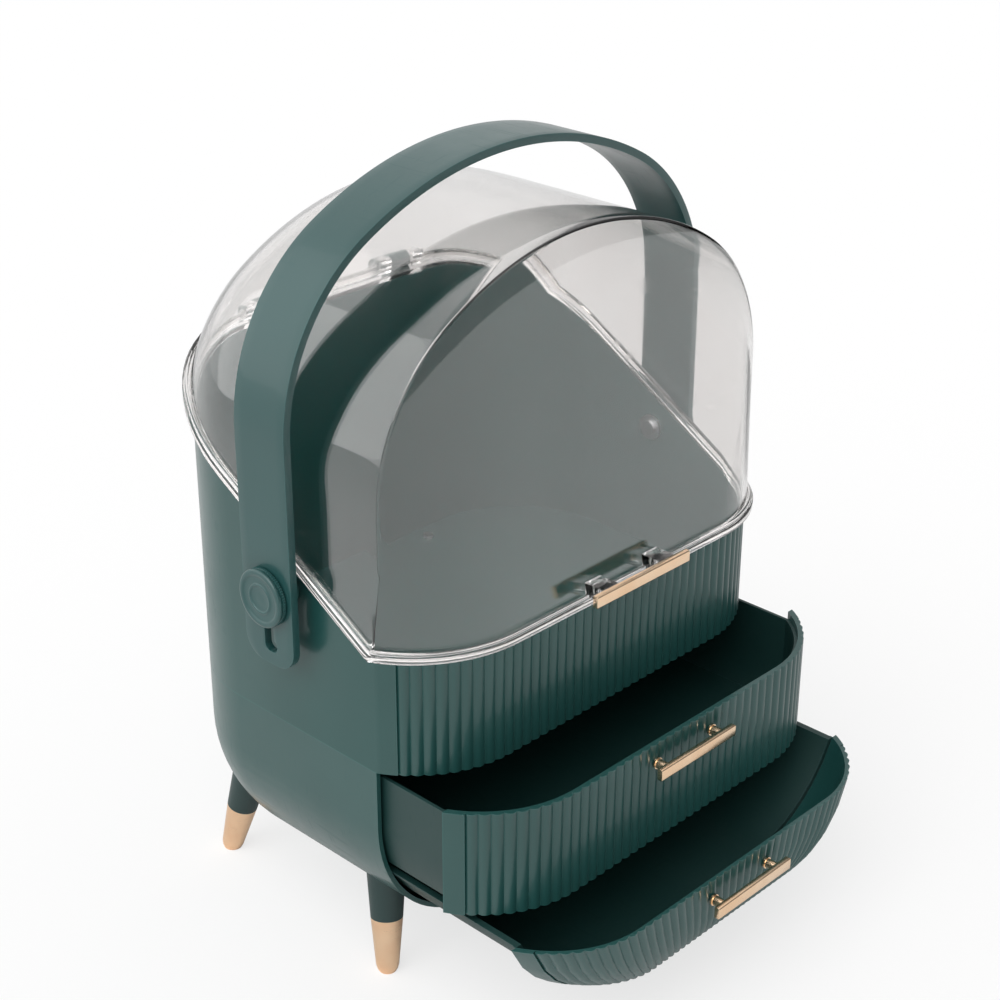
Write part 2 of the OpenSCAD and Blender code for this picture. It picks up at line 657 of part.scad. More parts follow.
disc_gap = 0.3;
washer_r = 7.5;
washer_t = 1.4;
pivot_screw_r = 1.4;
pivot_screw_head_r = 4.6;
pivot_screw_head_t = 2;
neck_in = half_w - tray_wall - washer_t - disc_gap;
disc_x = handle_half_w + disc_gap;
module pivot_disc(side) {
    color(green) place() translate([0, pivot_y, pivot_z]) rotate([0, side * 90, 0]) difference() {
        union() {
            translate([0, 0, neck_in]) cylinder(r = neck_r, h = disc_x + 1 - neck_in);
            translate([0, 0, disc_x]) rotate_extrude($fn = 96) polygon([
                [0, 0], [disc_r - 0.8, 0], [disc_r, 0.8], [disc_r, disc_t - 1.4],
                [disc_r - 0.4, disc_t - 0.5], [disc_r - 1.4, disc_t], [disc_r - 3, disc_t],
                [disc_r - 3.6, disc_t - 0.7], [disc_r - 7.4, disc_t - 0.7], [disc_r - 7.9, disc_t - 0.2],
                [disc_r - 8.7, disc_t - 0.2], [disc_r - 9.2, disc_t - 0.7], [0, disc_t - 0.7]]);
        }
        translate([0, 0, neck_in - 1]) cylinder(r = pivot_screw_r + running_gap, h = 11);
    }
}
module pivot_disc_left() { pivot_disc(-1); }
module pivot_disc_right() { pivot_disc(1); }
module pivot_washers() {
    color(steel) place() for (side = [-1, 1])
        translate([0, pivot_y, pivot_z]) rotate([0, side * 90, 0])
            translate([0, 0, neck_in]) difference() {
                cylinder(r = washer_r, h = washer_t);
                translate([0, 0, -1]) cylinder(r = neck_r + small_gap, h = washer_t + 2);
            }
}
module pivot_screws() {
    color(steel) place() for (side = [-1, 1])
        translate([0, pivot_y, pivot_z]) rotate([0, side * 90, 0])
            translate([0, 0, neck_in - small_gap]) {
                translate([0, 0, -pivot_screw_head_t]) cylinder(r = pivot_screw_head_r, h = pivot_screw_head_t);
                cylinder(r = pivot_screw_r, h = 9);
            }
}

// Drawers

// A drawer's outline, set in by inset from the body at the sides and by margin elsewhere
module drawer_form(inset, y1, margin, z0, z1) {
    intersection() {
        housing_bowl(inset, -big / 4);
        translate([0, 0, -big / 2]) linear_extrude(big) plan(margin);
        translate([-big / 2, -big / 2, z0]) cube([big, big / 2 + y1, z1 - z0]);
    }
}
upper_drawer_top = -(front_gap + 4);
module upper_drawer_box() {
    color(green) place() translate([0, -upper_open, 0]) difference() {
        drawer_form(drawer_inset, drawer_d, front_t + small_gap, upper_floor_z, upper_drawer_top);
        drawer_form(drawer_inset + drawer_wall, drawer_d - drawer_wall,
            front_t + small_gap + drawer_wall, upper_floor_z + drawer_wall, 1);
        translate([0, -front_bow, -upper_bar_z]) pull_screw_holes();
    }
}
module upper_drawer_front() {
    color(green) place() translate([0, -upper_open, 0]) difference() {
        translate([0, 0, -front_gap - upper_front_h]) linear_extrude(upper_front_h) difference() {
            ribbed_plan();
            plan(front_t);
            translate([-big / 2, 0]) square([big, big]);
        }
        translate([0, -front_bow, -upper_bar_z]) pull_screw_holes();
    }
}
module upper_drawer_pull() {
    color(gold) place() translate([0, -upper_open - front_bow - bar_stand, -upper_bar_z])
        drawer_pull(bar_stand - small_gap);
}
module upper_pull_screws() {
    color(steel) place() translate([0, -upper_open - front_bow - bar_stand, -upper_bar_z])
        pull_screws(bar_stand - small_gap, front_t + drawer_wall + 3 * small_gap);
}

lower_floor_z = drawer_inset - housing_h;
collar_t = 2;
module lower_drawer_box() {
    color(green) place() translate([0, -lower_open, 0]) difference() {
        intersection() {
            union() {
                drawer_form(drawer_inset, drawer_d, front_t + small_gap, -big / 2, -lower_top);
                // A collar at the mouth meets the rounded front
                u_solid(wall + joint_gap, -1, collar_t);
                // A lip runs along the top of each side
                drawer_form(wall + 2 * joint_gap, drawer_d, front_t + small_gap, -lower_top - 2.2, 1);
            }
            translate([-big / 2, small_gap, -big]) cube([big, big, big - lower_top]);
        }
        drawer_form(drawer_inset + drawer_wall, drawer_d - drawer_wall,
            front_t + small_gap + drawer_wall, -big / 2, 1);
    }
}

// The lower front is a bowl: its bow draws in towards the underside
bowl_segments = 4;
bowl_power = 3;
bowl_rows = [0, 0.3, 0.52, 0.68, 0.8, 0.9, 0.96, 1];
bowl_last = len(bowl_rows) - 1;
bowl_stations = ribbed_stations(bowl_segments);
bowl_columns = len(bowl_stations);
function bowl_half_w(z, inset) = let (rise = max(0, -housing_side_h - z), r = housing_r - inset)
    half_w - housing_r + sqrt(max(0, r * r - min(rise, r) * min(rise, r)));
function bowl_point(row, column, inset) =
    let (q = bowl_rows[row], depth = housing_h - inset - lower_top, z = -lower_top - depth * q,
         reach = pow(max(0, 1 - pow(q, bowl_power)), 1 / bowl_power),
         station = bowl_stations[column],
         rib = inset > 0 ? 0 : station[1] * min(1, reach * 1.6),
         flat = bow(station[0] * end_s(inset) / end_s(0), rib - inset),
         mouth = bow(end_s(inset), -inset)[1])
    [flat[0] * bowl_half_w(z, inset) / (half_w - inset), min(0, flat[1] - mouth) * reach, z];
function bowl_index(row, column, skin) = (skin * (bowl_last + 1) + row) * bowl_columns + column;
function bowl_skin_faces(skin, flip) = [for (row = [0 : bowl_last - 1]) for (column = [0 : bowl_columns - 2])
    each quad_faces(bowl_index(row, column, skin), bowl_index(row, column + 1, skin),
        bowl_index(row + 1, column + 1, skin), bowl_index(row + 1, column, skin), flip)];
module bowl() {
    polyhedron(
        points = [for (inset = [0, front_t]) for (row = [0 : bowl_last]) for (column = [0 : bowl_columns - 1])
            bowl_point(row, column, inset)],
        faces = concat(bowl_skin_faces(0, false), bowl_skin_faces(1, true),
            [for (column = [0 : bowl_columns - 2]) each concat(
                quad_faces(bowl_index(0, column + 1, 0), bowl_index(0, column, 0),
                    bowl_index(0, column, 1), bowl_index(0, column + 1, 1), false),
                quad_faces(bowl_index(bowl_last, column, 0), bowl_index(bowl_last, column + 1, 0),
                    bowl_index(bowl_last, column + 1, 1), bowl_index(bowl_last, column, 1), false))],
            [for (row = [0 : bowl_last - 1]) each concat(
                quad_faces(bowl_index(row, 0, 0), bowl_index(row + 1, 0, 0),
                    bowl_index(row + 1, 0, 1), bowl_index(row, 0, 1), false),
                quad_faces(bowl_index(row + 1, bowl_columns - 1, 0), bowl_index(row, bowl_columns - 1, 0),
                    bowl_index(row, bowl_columns - 1, 1), bowl_index(row + 1, bowl_columns - 1, 1), false))]));
}
lower_bar_drop = lower_bar_z - lower_top;
lower_bar_q = lower_bar_drop / (housing_h - lower_top);
lower_bar_y = -front_bow * pow(1 - pow(lower_bar_q, bowl_power), 1 / bowl_power);
module lower_drawer_front() {
    color(green) place() translate([0, -lower_open, 0]) difference() {
        bowl();
        translate([0, -front_bow, -lower_bar_z]) pull_screw_holes();
    }
}
module lower_drawer_pull() {
    color(gold) place() translate([0, -lower_open - front_bow - bar_stand, -lower_bar_z])
        drawer_pull(bar_stand - small_gap);
}
module lower_pull_screws() {
    color(steel) place() translate([0, -lower_open - front_bow - bar_stand, -lower_bar_z])
        pull_screws(bar_stand - small_gap, front_t + 2 * small_gap);
}

// Legs

leg_top_z = -housing_h + 40;
leg_l = floor_h + leg_top_z;
// Puts a child's Z axis on a leg's axis, with its origin on the floor at the foot's middle
module on_leg(side, back) {
    if (back) {
        translate([side * (half_w - back_r), body_d - back_r, -floor_h])
            rotate([0, 0, side > 0 ? back_foot_turn : 180 - back_foot_turn])
            translate([back_foot_reach, 0, 0]) rotate([0, -atan(back_leg_splay / leg_l), 0]) children();
    } else {
        translate([side * foot_x, foot_y, -floor_h])
            rotate([0, 0, side > 0 ? -45 : -135])
            rotate([0, -atan(sqrt(2) * leg_splay / leg_l), 0]) children();
    }
}
function leg_r(h) = leg_foot_r + (leg_top_r - leg_foot_r) * h / leg_l;
spigot_l = 12;
module leg(side, back) {
    color(green) place() difference() {
        on_leg(side, back) {
            translate([0, 0, tip_l]) cylinder(r1 = leg_r(tip_l), r2 = leg_top_r, h = leg_l - tip_l + 10);
            translate([0, 0, tip_l - spigot_l]) cylinder(r = spigot_r, h = spigot_l + 1);
        }
        housing_form(0, 0);
        leg_screw_place(side, back) leg_screw(running_gap);
    }
}
module tip(side, back) {
    color(gold) place() difference() {
        on_leg(side, back) difference() {
            rotate_extrude() polygon([[0, -3], [leg_foot_r - 2.8, -3], [leg_foot_r - 1.7, -0.6],
                [leg_foot_r - 0.7, 1.2], [leg_foot_r, 3.6], [leg_r(tip_l), tip_l], [0, tip_l]]);
            translate([0, 0, tip_l - spigot_l - 1]) cylinder(r = spigot_r + running_gap, h = spigot_l + 2);
        }
        slab(-big, -floor_h);
    }
}
module front_left_leg() { leg(-1, false); }
module front_right_leg() { leg(1, false); }
module back_left_leg() { leg(-1, true); }
module back_right_leg() { leg(1, true); }
module front_left_tip() { tip(-1, false); }
module front_right_tip() { tip(1, false); }
module back_left_tip() { tip(-1, true); }
module back_right_tip() { tip(1, true); }

leg_screw_r = 1.8;
leg_screw_head_r = 4;
leg_screw_l = 11.5;
// A countersunk screw: its head is flush with z = 0 and its shank runs down
module leg_screw(gap) {
    translate([0, 0, -leg_screw_l]) cylinder(r = leg_screw_r + gap, h = leg_screw_l);
    translate([0, 0, -2]) cylinder(r1 = leg_screw_r + gap, r2 = leg_screw_head_r + gap, h = 2 + (gap > 0 ? 0.01 : 0));
}
// The screws stand square to the housing's round lower corner
leg_screw_a = asin((foot_x - leg_splay * 0.7 - (half_w - housing_r)) / housing_r);
back_leg_screw_a = asin((back_foot_reach - back_leg_splay * 0.9 - (back_r - housing_r)) / housing_r);
module leg_screw_place(side, back) {
    if (back) {
        translate([side * (half_w - back_r), body_d - back_r, -housing_side_h])
            rotate([0, 0, side > 0 ? back_foot_turn : 180 - back_foot_turn])
            translate([back_r - housing_r, 0, 0]) rotate([0, -back_leg_screw_a, 0])
            translate([0, 0, wall + 0.4 - housing_r]) children();
    } else {
        translate([side * (half_w - housing_r), foot_y + leg_splay * 0.7, -housing_side_h])
            rotate([0, -side * leg_screw_a, 0]) translate([0, 0, wall + 0.4 - housing_r]) children();
    }
}
module leg_screw_places() {
    for (side = [-1, 1], back = [false, true]) leg_screw_place(side, back) children();
}
module leg_screws() { color(steel) place() leg_screw_places() leg_screw(0); }

lower_housing();
upper_tray();
drawer_rail_left();
drawer_rail_right();
tray_screws();
clear_lid();
lid_pull_bar();
hinge_pin_left();
hinge_pin_right();
handle_strap();
pivot_disc_left();
pivot_disc_right();
pivot_washers();
pivot_screws();
upper_drawer_box();
upper_drawer_front();
upper_drawer_pull();
upper_pull_screws();
lower_drawer_box();
lower_drawer_front();
lower_drawer_pull();
lower_pull_screws();
front_left_leg();
front_right_leg();
back_left_leg();
back_right_leg();
front_left_tip();
front_right_tip();
back_left_tip();
back_right_tip();
leg_screws();
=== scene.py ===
# %% [markdown]
# A makeup organizer, dressed for its picture.
# The imported model gives 31 plain solids that already stand in the right place and already move.
# This lesson keeps them as the frame, smooths their shading without touching their meshes,
# models the pieces that need finer shapes with Blender's own mesh tools, and gives every
# surface a procedural finish: moulded green plastic, clear acrylic, brushed gold and steel.

# %% Load the imported organizer
import math
import bpy
import bmesh
from mathutils import Matrix, Vector


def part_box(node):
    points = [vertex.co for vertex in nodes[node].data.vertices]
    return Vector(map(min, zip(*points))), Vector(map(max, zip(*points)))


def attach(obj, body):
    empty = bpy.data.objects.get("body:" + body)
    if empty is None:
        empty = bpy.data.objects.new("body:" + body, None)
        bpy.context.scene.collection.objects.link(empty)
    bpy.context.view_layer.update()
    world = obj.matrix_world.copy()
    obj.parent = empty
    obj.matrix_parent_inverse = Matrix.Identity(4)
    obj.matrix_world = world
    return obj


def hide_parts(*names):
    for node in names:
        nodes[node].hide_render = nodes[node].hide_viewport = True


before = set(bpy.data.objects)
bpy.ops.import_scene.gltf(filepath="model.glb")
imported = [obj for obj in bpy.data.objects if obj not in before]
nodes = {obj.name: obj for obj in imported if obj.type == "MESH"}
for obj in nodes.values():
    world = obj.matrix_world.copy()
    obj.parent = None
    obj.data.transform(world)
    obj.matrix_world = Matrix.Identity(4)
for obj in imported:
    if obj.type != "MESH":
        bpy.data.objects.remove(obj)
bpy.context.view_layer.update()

# %% [markdown]
# The solids were drawn from the organizer's front corners and from the seam between the
# tray and the drawer housing. Working from the same corner keeps every number readable, so
# the next cell says where that corner is and gives the sizes that the new pieces share.

# %% Shared sizes in millimetres, and the corner they are measured from
MM = 0.001
FRONT_CORNER_Y = -27.95
SEAM_Z = 146.0
HALF_W, BODY_D = 140.0, 176.0
BOW, BOW_R, BACK_R = 35.5, 67.0, 70.0
RIM_FRONT, RIM_SLOPE = 65.0, math.tan(math.radians(30.7))
HINGE_X, HINGE_Y, HINGE_Z = 50.0, 183.5, 175.455


def place(x, y, z):
    """Metres in the shared frame, from millimetres off the front corner and the seam."""
    return Vector((x * MM, (y + FRONT_CORNER_Y) * MM, (z + SEAM_Z) * MM))


_, tray_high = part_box("upper_tray")
print("seam is at", SEAM_Z * MM, "and the tray's knuckles reach", round(tray_high[1], 4))

# %% [markdown]
# A photograph is matched by its camera first. This camera looks down on the front left
# corner through a long lens, which keeps the upright edges almost parallel.

# %% Camera at the photograph's viewing angle
CAMERA_AZIMUTH, CAMERA_ELEVATION = math.radians(-46.150), math.radians(25.701)
CAMERA_ROLL = math.radians(0.182)
CAMERA_DISTANCE = 1069.729
CAMERA_TARGET = (9.711, 60.0, 77.535)
LENS_SENSOR, LENS_LENGTH = 36.0, 70.831


def viewing_camera():
    back = Vector((math.sin(CAMERA_AZIMUTH) * math.cos(CAMERA_ELEVATION),
                   -math.cos(CAMERA_AZIMUTH) * math.cos(CAMERA_ELEVATION),
                   math.sin(CAMERA_ELEVATION)))
    across = Vector((0, 0, 1)).cross(back).normalized()
    up = back.cross(across)
    c, s = math.cos(CAMERA_ROLL), math.sin(CAMERA_ROLL)
    across, up = across * c + up * s, up * c - across * s
    target = place(*CAMERA_TARGET)
    data = bpy.data.cameras.new("photo_camera")
    data.sensor_width, data.lens = LENS_SENSOR, LENS_LENGTH
    data.clip_end = 60
    camera = bpy.data.objects.new("photo_camera", data)
    turn = Matrix((across, up, back)).transposed().to_4x4()
    camera.matrix_world = Matrix.Translation(target + back * CAMERA_DISTANCE * MM) @ turn
    bpy.context.scene.collection.objects.link(camera)
    bpy.context.scene.camera = camera
    return camera


camera = viewing_camera()
print("camera at", [round(v, 3) for v in camera.matrix_world.translation])

# %% [markdown]
# Small helpers stand in for the hand on the mouse. Everything is deselected before a new
# primitive is added, edit mode is entered only for that piece, and faces or edges are then
# picked by where they are or which way they face.

# %% Helpers for picking and shaping
# How near two points are, in metres, when they count as one
LOOSE_JOIN, CLOSE_JOIN, SEAM_JOIN = 0.00001, 0.000002, 0.000001


def only(piece):
    bpy.ops.object.select_all(action="DESELECT")
    piece.select_set(True)
    bpy.context.view_layer.objects.active = piece


def added(name):
    piece = bpy.context.object
    piece.name = piece.data.name = name
    return piece


def edit(piece, kind="VERT"):
    only(piece)
    bpy.ops.object.mode_set(mode="EDIT")
    bpy.ops.mesh.select_mode(type=kind)


def leave():
    bpy.ops.object.mode_set(mode="OBJECT")


def cage(piece):
    mesh = bmesh.from_edit_mesh(piece.data)
    mesh.verts.ensure_lookup_table()
    return mesh


def pick(piece, kind, test):
    """Selects what passes the test, and nothing else; the piece is in edit mode."""
    bpy.ops.mesh.select_mode(type=kind)
    bpy.ops.mesh.select_all(action="DESELECT")
    mesh = cage(piece)
    items = {"VERT": mesh.verts, "EDGE": mesh.edges, "FACE": mesh.faces}[kind]
    count = 0
    for item in items:
        if test(item):
            item.select_set(True)
            count += 1
    mesh.select_flush_mode()
    bmesh.update_edit_mesh(piece.data)
    return count


def tidy(piece, join=CLOSE_JOIN):
    edit(piece)
    bpy.ops.mesh.select_all(action="SELECT")
    bpy.ops.mesh.remove_doubles(threshold=join)
    bpy.ops.mesh.normals_make_consistent(inside=False)
    leave()


def add_modifier(piece, kind, **settings):
    modifier = piece.modifiers.new(kind.lower(), kind)
    for key, value in settings.items():
        setattr(modifier, key, value)
    return modifier


def apply_modifiers(piece):
    only(piece)
    for modifier in list(piece.modifiers):
        bpy.ops.object.modifier_apply(modifier=modifier.name)


def smooth(piece, angle=35):
    only(piece)
    bpy.ops.object.shade_smooth_by_angle(angle=math.radians(angle))


def open_edges(piece):
    mesh = bmesh.new()
    mesh.from_mesh(piece.data)
    count = sum(1 for e in mesh.edges if len(e.link_faces) != 2)
    mesh.free()
    return count


print("helpers ready")

# %% [markdown]
# Light and shade that change over a surface come from a few shared effects. Each effect is
# one node group with named inputs and outputs, so that a finish only has to say how strong
# it wants it. The helpers in the next cell build such groups, a node at a time.

# %% Helpers for node groups and materials


def new_group(name, inputs, outputs):
    tree = bpy.data.node_groups.new(name, "ShaderNodeTree")
    for label, kind, value in inputs:
        socket = tree.interface.new_socket(label, in_out="INPUT", socket_type=kind)
        if value is not None:
            socket.default_value = value
    for label, kind in outputs:
        tree.interface.new_socket(label, in_out="OUTPUT", socket_type=kind)
    return tree, tree.nodes.new("NodeGroupInput"), tree.nodes.new("NodeGroupOutput")


def node(tree, kind, **settings):
    made = tree.nodes.new(kind)
    for key, value in settings.items():
        setattr(made, key, value)
    return made


def wire(tree, source, target):
    tree.links.new(source, target)


def math_node(tree, operation, first, second=None, third=None, clamp=False):
    made = node(tree, "ShaderNodeMath", operation=operation, use_clamp=clamp)
    for socket, value in zip(made.inputs, (first, second, third)):
        if value is None:
            continue
        if isinstance(value, (int, float)):
            socket.default_value = value
        else:
            wire(tree, value, socket)
    return made.outputs[0]


def noise(tree, place_socket, scale, detail=3.0, roughness=0.5, stretch=None):
    if stretch:
        mapping = node(tree, "ShaderNodeMapping")
        mapping.inputs["Scale"].default_value = stretch
        wire(tree, place_socket, mapping.inputs["Vector"])
        place_socket = mapping.outputs["Vector"]
    made = node(tree, "ShaderNodeTexNoise")
    made.inputs["Detail"].default_value = detail
    made.inputs["Roughness"].default_value = roughness
    if isinstance(scale, (int, float)):
        made.inputs["Scale"].default_value = scale
    else:
        wire(tree, scale, made.inputs["Scale"])
    wire(tree, place_socket, made.inputs["Vector"])
    return made.outputs["Fac"]


def spread(tree, value, low, high, out_low=0.0, out_high=1.0):
    made = node(tree, "ShaderNodeMapRange", clamp=True)
    wire(tree, value, made.inputs["Value"])
    for label, number in (("From Min", low), ("From Max", high), ("To Min", out_low), ("To Max", out_high)):
        made.inputs[label].default_value = number
    return made.outputs["Result"]


print("node helpers ready")

# %% [markdown]
# A steel mould leaves a very fine grain on plastic, and a wall that cools unevenly ripples a
# little. Both could come from a picture, but two noises of different scale never repeat. The
# third and widest noise says where the plastic flowed a shade paler.

# %% Effect: grain left by the mould
grain_group, g_in, g_out = new_group(
    "mould_grain",
    [("Place", "NodeSocketVector", None), ("Scale", "NodeSocketFloat", 2600.0)],
    [("Height", "NodeSocketFloat"), ("Flow", "NodeSocketFloat")])
fine = noise(grain_group, g_in.outputs["Place"], g_in.outputs["Scale"], 2.0, 0.6)
ripple = noise(grain_group, g_in.outputs["Place"], 38.0, 2.0, 0.4)
wire(grain_group, math_node(grain_group, "MULTIPLY_ADD", ripple, 2.2, fine), g_out.inputs["Height"])
wire(grain_group, spread(grain_group, noise(grain_group, g_in.outputs["Place"], 9.0, 3.0, 0.55), 0.3, 0.7),
     g_out.inputs["Flow"])
print("mould_grain:", len(grain_group.nodes), "nodes")

# %% [markdown]
# Hands leave faint smears and hair-fine scratches. They don't change the colour; they only
# make the gloss uneven, which is what tells the eye that a surface is real.

# %% Effect: handling marks
handling_group, h_in, h_out = new_group(
    "handling_marks",
    [("Place", "NodeSocketVector", None), ("Smear Scale", "NodeSocketFloat", 26.0)],
    [("Smear", "NodeSocketFloat"), ("Scratch", "NodeSocketFloat")])
smear = noise(handling_group, h_in.outputs["Place"], h_in.outputs["Smear Scale"], 4.0, 0.62)
wire(handling_group, spread(handling_group, smear, 0.46, 0.72), h_out.inputs["Smear"])
scratch_a = noise(handling_group, h_in.outputs["Place"], 60.0, 1.0, 0.4, (9.0, 0.5, 1.0))
scratch_b = noise(handling_group, h_in.outputs["Place"], 60.0, 1.0, 0.4, (0.6, 8.0, 1.3))
both = math_node(handling_group, "MAXIMUM", scratch_a, scratch_b)
wire(handling_group, spread(handling_group, both, 0.66, 0.72), h_out.inputs["Scratch"])
print("handling_marks:", len(handling_group.nodes), "nodes")

# %% [markdown]
# Moulded edges lose their gloss first, and a painted highlight makes them a shade paler,
# where a rounded edge would catch the light. Comparing the true normal with one rounded over
# a small radius finds them on any mesh.

# %% Effect: worn edges and their painted highlight
edge_group, e_in, e_out = new_group(
    "edges_worn_and_highlighted", [("Radius", "NodeSocketFloat", 0.0008)], [("Mask", "NodeSocketFloat")])
rounded = node(edge_group, "ShaderNodeBevel", samples=4)
wire(edge_group, e_in.outputs["Radius"], rounded.inputs["Radius"])
true_normal = node(edge_group, "ShaderNodeNewGeometry")
align = node(edge_group, "ShaderNodeVectorMath", operation="DOT_PRODUCT")
wire(edge_group, rounded.outputs["Normal"], align.inputs[0])
wire(edge_group, true_normal.outputs["Normal"], align.inputs[1])
wire(edge_group, spread(edge_group, align.outputs["Value"], 0.995, 0.86), e_out.inputs["Mask"])
print("edges_worn_and_highlighted:", len(edge_group.nodes), "nodes")

# %% [markdown]
# A little dust settles on what faces up. It is the last effect that several finishes share.

# %% Effect: settled dust
dust_group, d_in, d_out = new_group(
    "settled_dust",
    [("Place", "NodeSocketVector", None), ("Amount", "NodeSocketFloat", 0.2)],
    [("Mask", "NodeSocketFloat")])
facing = node(dust_group, "ShaderNodeNewGeometry")
split = node(dust_group, "ShaderNodeSeparateXYZ")
wire(dust_group, facing.outputs["Normal"], split.inputs[0])
level = spread(dust_group, split.outputs["Z"], 0.55, 1.0)
specks = spread(dust_group, noise(dust_group, d_in.outputs["Place"], 420.0, 3.0, 0.7), 0.5, 0.78)
dust = math_node(dust_group, "MULTIPLY", level, specks)
wire(dust_group, math_node(dust_group, "MULTIPLY", dust, d_in.outputs["Amount"]), d_out.inputs["Mask"])
print("settled_dust:", len(dust_group.nodes), "nodes")

# %% [markdown]
# The body is satin plastic in a dark bluish green. In a white studio its sheen turns the big
# faces greyish, so the written colour is much deeper than what the picture shows, and a thin
# coat adds the sharper part of the gloss. The recipe is one function, because the strap, the
# drawers and the legs differ only in how deep, how fine and how glossy they were moulded.
# The drawer boxes and rails are the same plastic; their darker colour is painted shade.

# %% Finish: moulded green plastic
PLASTIC_IOR, COAT_ROUGHNESS, GRAIN_STRENGTH = 1.56, 0.07, 0.55
# The edge mask dulls the gloss of the edges and also paints a highlight on them, a shade paler
EDGE_WIDTH, EDGE_PAINTED_HIGHLIGHT = 0.0009, 0.35
SMEAR_DULLS, EDGE_DULLS, SCRATCH_DULLS = 0.07, 0.10, 0.06
DUST_COLOUR = (0.30, 0.31, 0.29)


def begin_material(name):
    material = bpy.data.materials.new(name)
    material.use_nodes = True
    tree = material.node_tree
    tree.nodes.clear()
    out = node(tree, "ShaderNodeOutputMaterial")
    shader = node(tree, "ShaderNodeBsdfPrincipled")
    wire(tree, shader.outputs["BSDF"], out.inputs["Surface"])
    where = node(tree, "ShaderNodeTexCoord").outputs["Object"]
    return material, tree, shader, where, out


def use_group(tree, group, where=None, **values):
    made = node(tree, "ShaderNodeGroup", node_tree=group)
    if where is not None:
        wire(tree, where, made.inputs["Place"])
    for label, value in values.items():
        made.inputs[label.replace("_", " ")].default_value = value
    return made


def mix_colour(tree, factor, first, second):
    made = node(tree, "ShaderNodeMix", data_type="RGBA")
    sockets = [s for s in made.inputs if s.type == "RGBA"]
    if isinstance(factor, (int, float)):
        made.inputs[0].default_value = factor
    else:
        wire(tree, factor, made.inputs[0])
    for socket, value in zip(sockets, (first, second)):
        if isinstance(value, tuple):
            socket.default_value = (*value, 1.0)
        else:
            wire(tree, value, socket)
    return [s for s in made.outputs if s.type == "RGBA"][0]


def bump(tree, shader, height, distance, strength=1.0):
    made = node(tree, "ShaderNodeBump")
    made.inputs["Distance"].default_value = distance
    made.inputs["Strength"].default_value = strength
    wire(tree, height, made.inputs["Height"])
    wire(tree, made.outputs["Normal"], shader.inputs["Normal"])


def green_plastic(name, deep, pale, gloss, grain=2600.0, depth=0.00003, dusty=0.12, polish=0.0):
    material, tree, shader, where, _ = begin_material(name)
    mould = use_group(tree, grain_group, where, Scale=grain)
    marks = use_group(tree, handling_group, where)
    edges = use_group(tree, edge_group, Radius=EDGE_WIDTH)
    dust_on = use_group(tree, dust_group, where, Amount=dusty)
    colour = mix_colour(tree, mould.outputs["Flow"], deep, pale)
    # Painted highlight: the edges are mixed towards a much paler green, as if light caught them
    edge_highlighted = mix_colour(tree, math_node(tree, "MULTIPLY", edges.outputs["Mask"], EDGE_PAINTED_HIGHLIGHT), colour,
                      tuple(min(1.0, c * 2.2 + 0.012) for c in pale))
    dusted = mix_colour(tree, dust_on.outputs["Mask"], edge_highlighted, DUST_COLOUR)
    wire(tree, dusted, shader.inputs["Base Color"])
    rough = math_node(tree, "MULTIPLY_ADD", marks.outputs["Smear"], SMEAR_DULLS, gloss)
    rough = math_node(tree, "MULTIPLY_ADD", edges.outputs["Mask"], EDGE_DULLS, rough)
    rough = math_node(tree, "MULTIPLY_ADD", marks.outputs["Scratch"], SCRATCH_DULLS, rough, clamp=True)
    wire(tree, rough, shader.inputs["Roughness"])
    shader.inputs["IOR"].default_value = PLASTIC_IOR
    shader.inputs["Coat Weight"].default_value = polish
    shader.inputs["Coat Roughness"].default_value = COAT_ROUGHNESS
    bump(tree, shader, mould.outputs["Height"], depth, GRAIN_STRENGTH)
    return material


body_green = green_plastic("body_green", (0.0125, 0.066, 0.061), (0.0160, 0.079, 0.073), 0.31,
                           depth=0.000016, dusty=0.02, polish=0.30)
strap_green = green_plastic("strap_green", (0.0130, 0.066, 0.064), (0.0165, 0.078, 0.076), 0.32,
                            3200.0, 0.00002, dusty=0.02, polish=0.25)
# Painted shade: the same green as the body at about half its brightness, for the dark inside the drawers
drawer_green_painted_shade = green_plastic("drawer_green_painted_shade", (0.0060, 0.034, 0.031), (0.0075, 0.040, 0.037), 0.46,
                             1900.0, 0.00004, 0.02)
leg_green = green_plastic("leg_green", (0.0090, 0.032, 0.030), (0.0115, 0.038, 0.036), 0.42,
                          2200.0, 0.00004)
print("green finishes:", body_green.name, strap_green.name, drawer_green_painted_shade.name, leg_green.name)

# %% [markdown]
# The lid is clear acrylic with a faint warm cast. It is real glass to the renderer, with a
# plain transmission weight; only shadow rays pass straight through, because otherwise a
# closed clear dome would leave the tray below it black. Its index is set above that of
# acrylic, and a coat is added, to give the strong grey veil that the lid shows in a studio.

# %% Finish: clear acrylic
ACRYLIC_IOR, ACRYLIC_COAT, ACRYLIC_COAT_ROUGHNESS = 1.66, 0.7, 0.06
CLEAR_TINT, SMEARED_TINT = (1.0, 0.980, 0.970), (0.990, 0.962, 0.950)
LIGHT_LET_THROUGH = (0.93, 0.92, 0.915, 1.0)
POLISHED, SMEAR_BLURS, SCRATCH_BLURS, DUST_BLURS = 0.012, 0.035, 0.05, 0.3


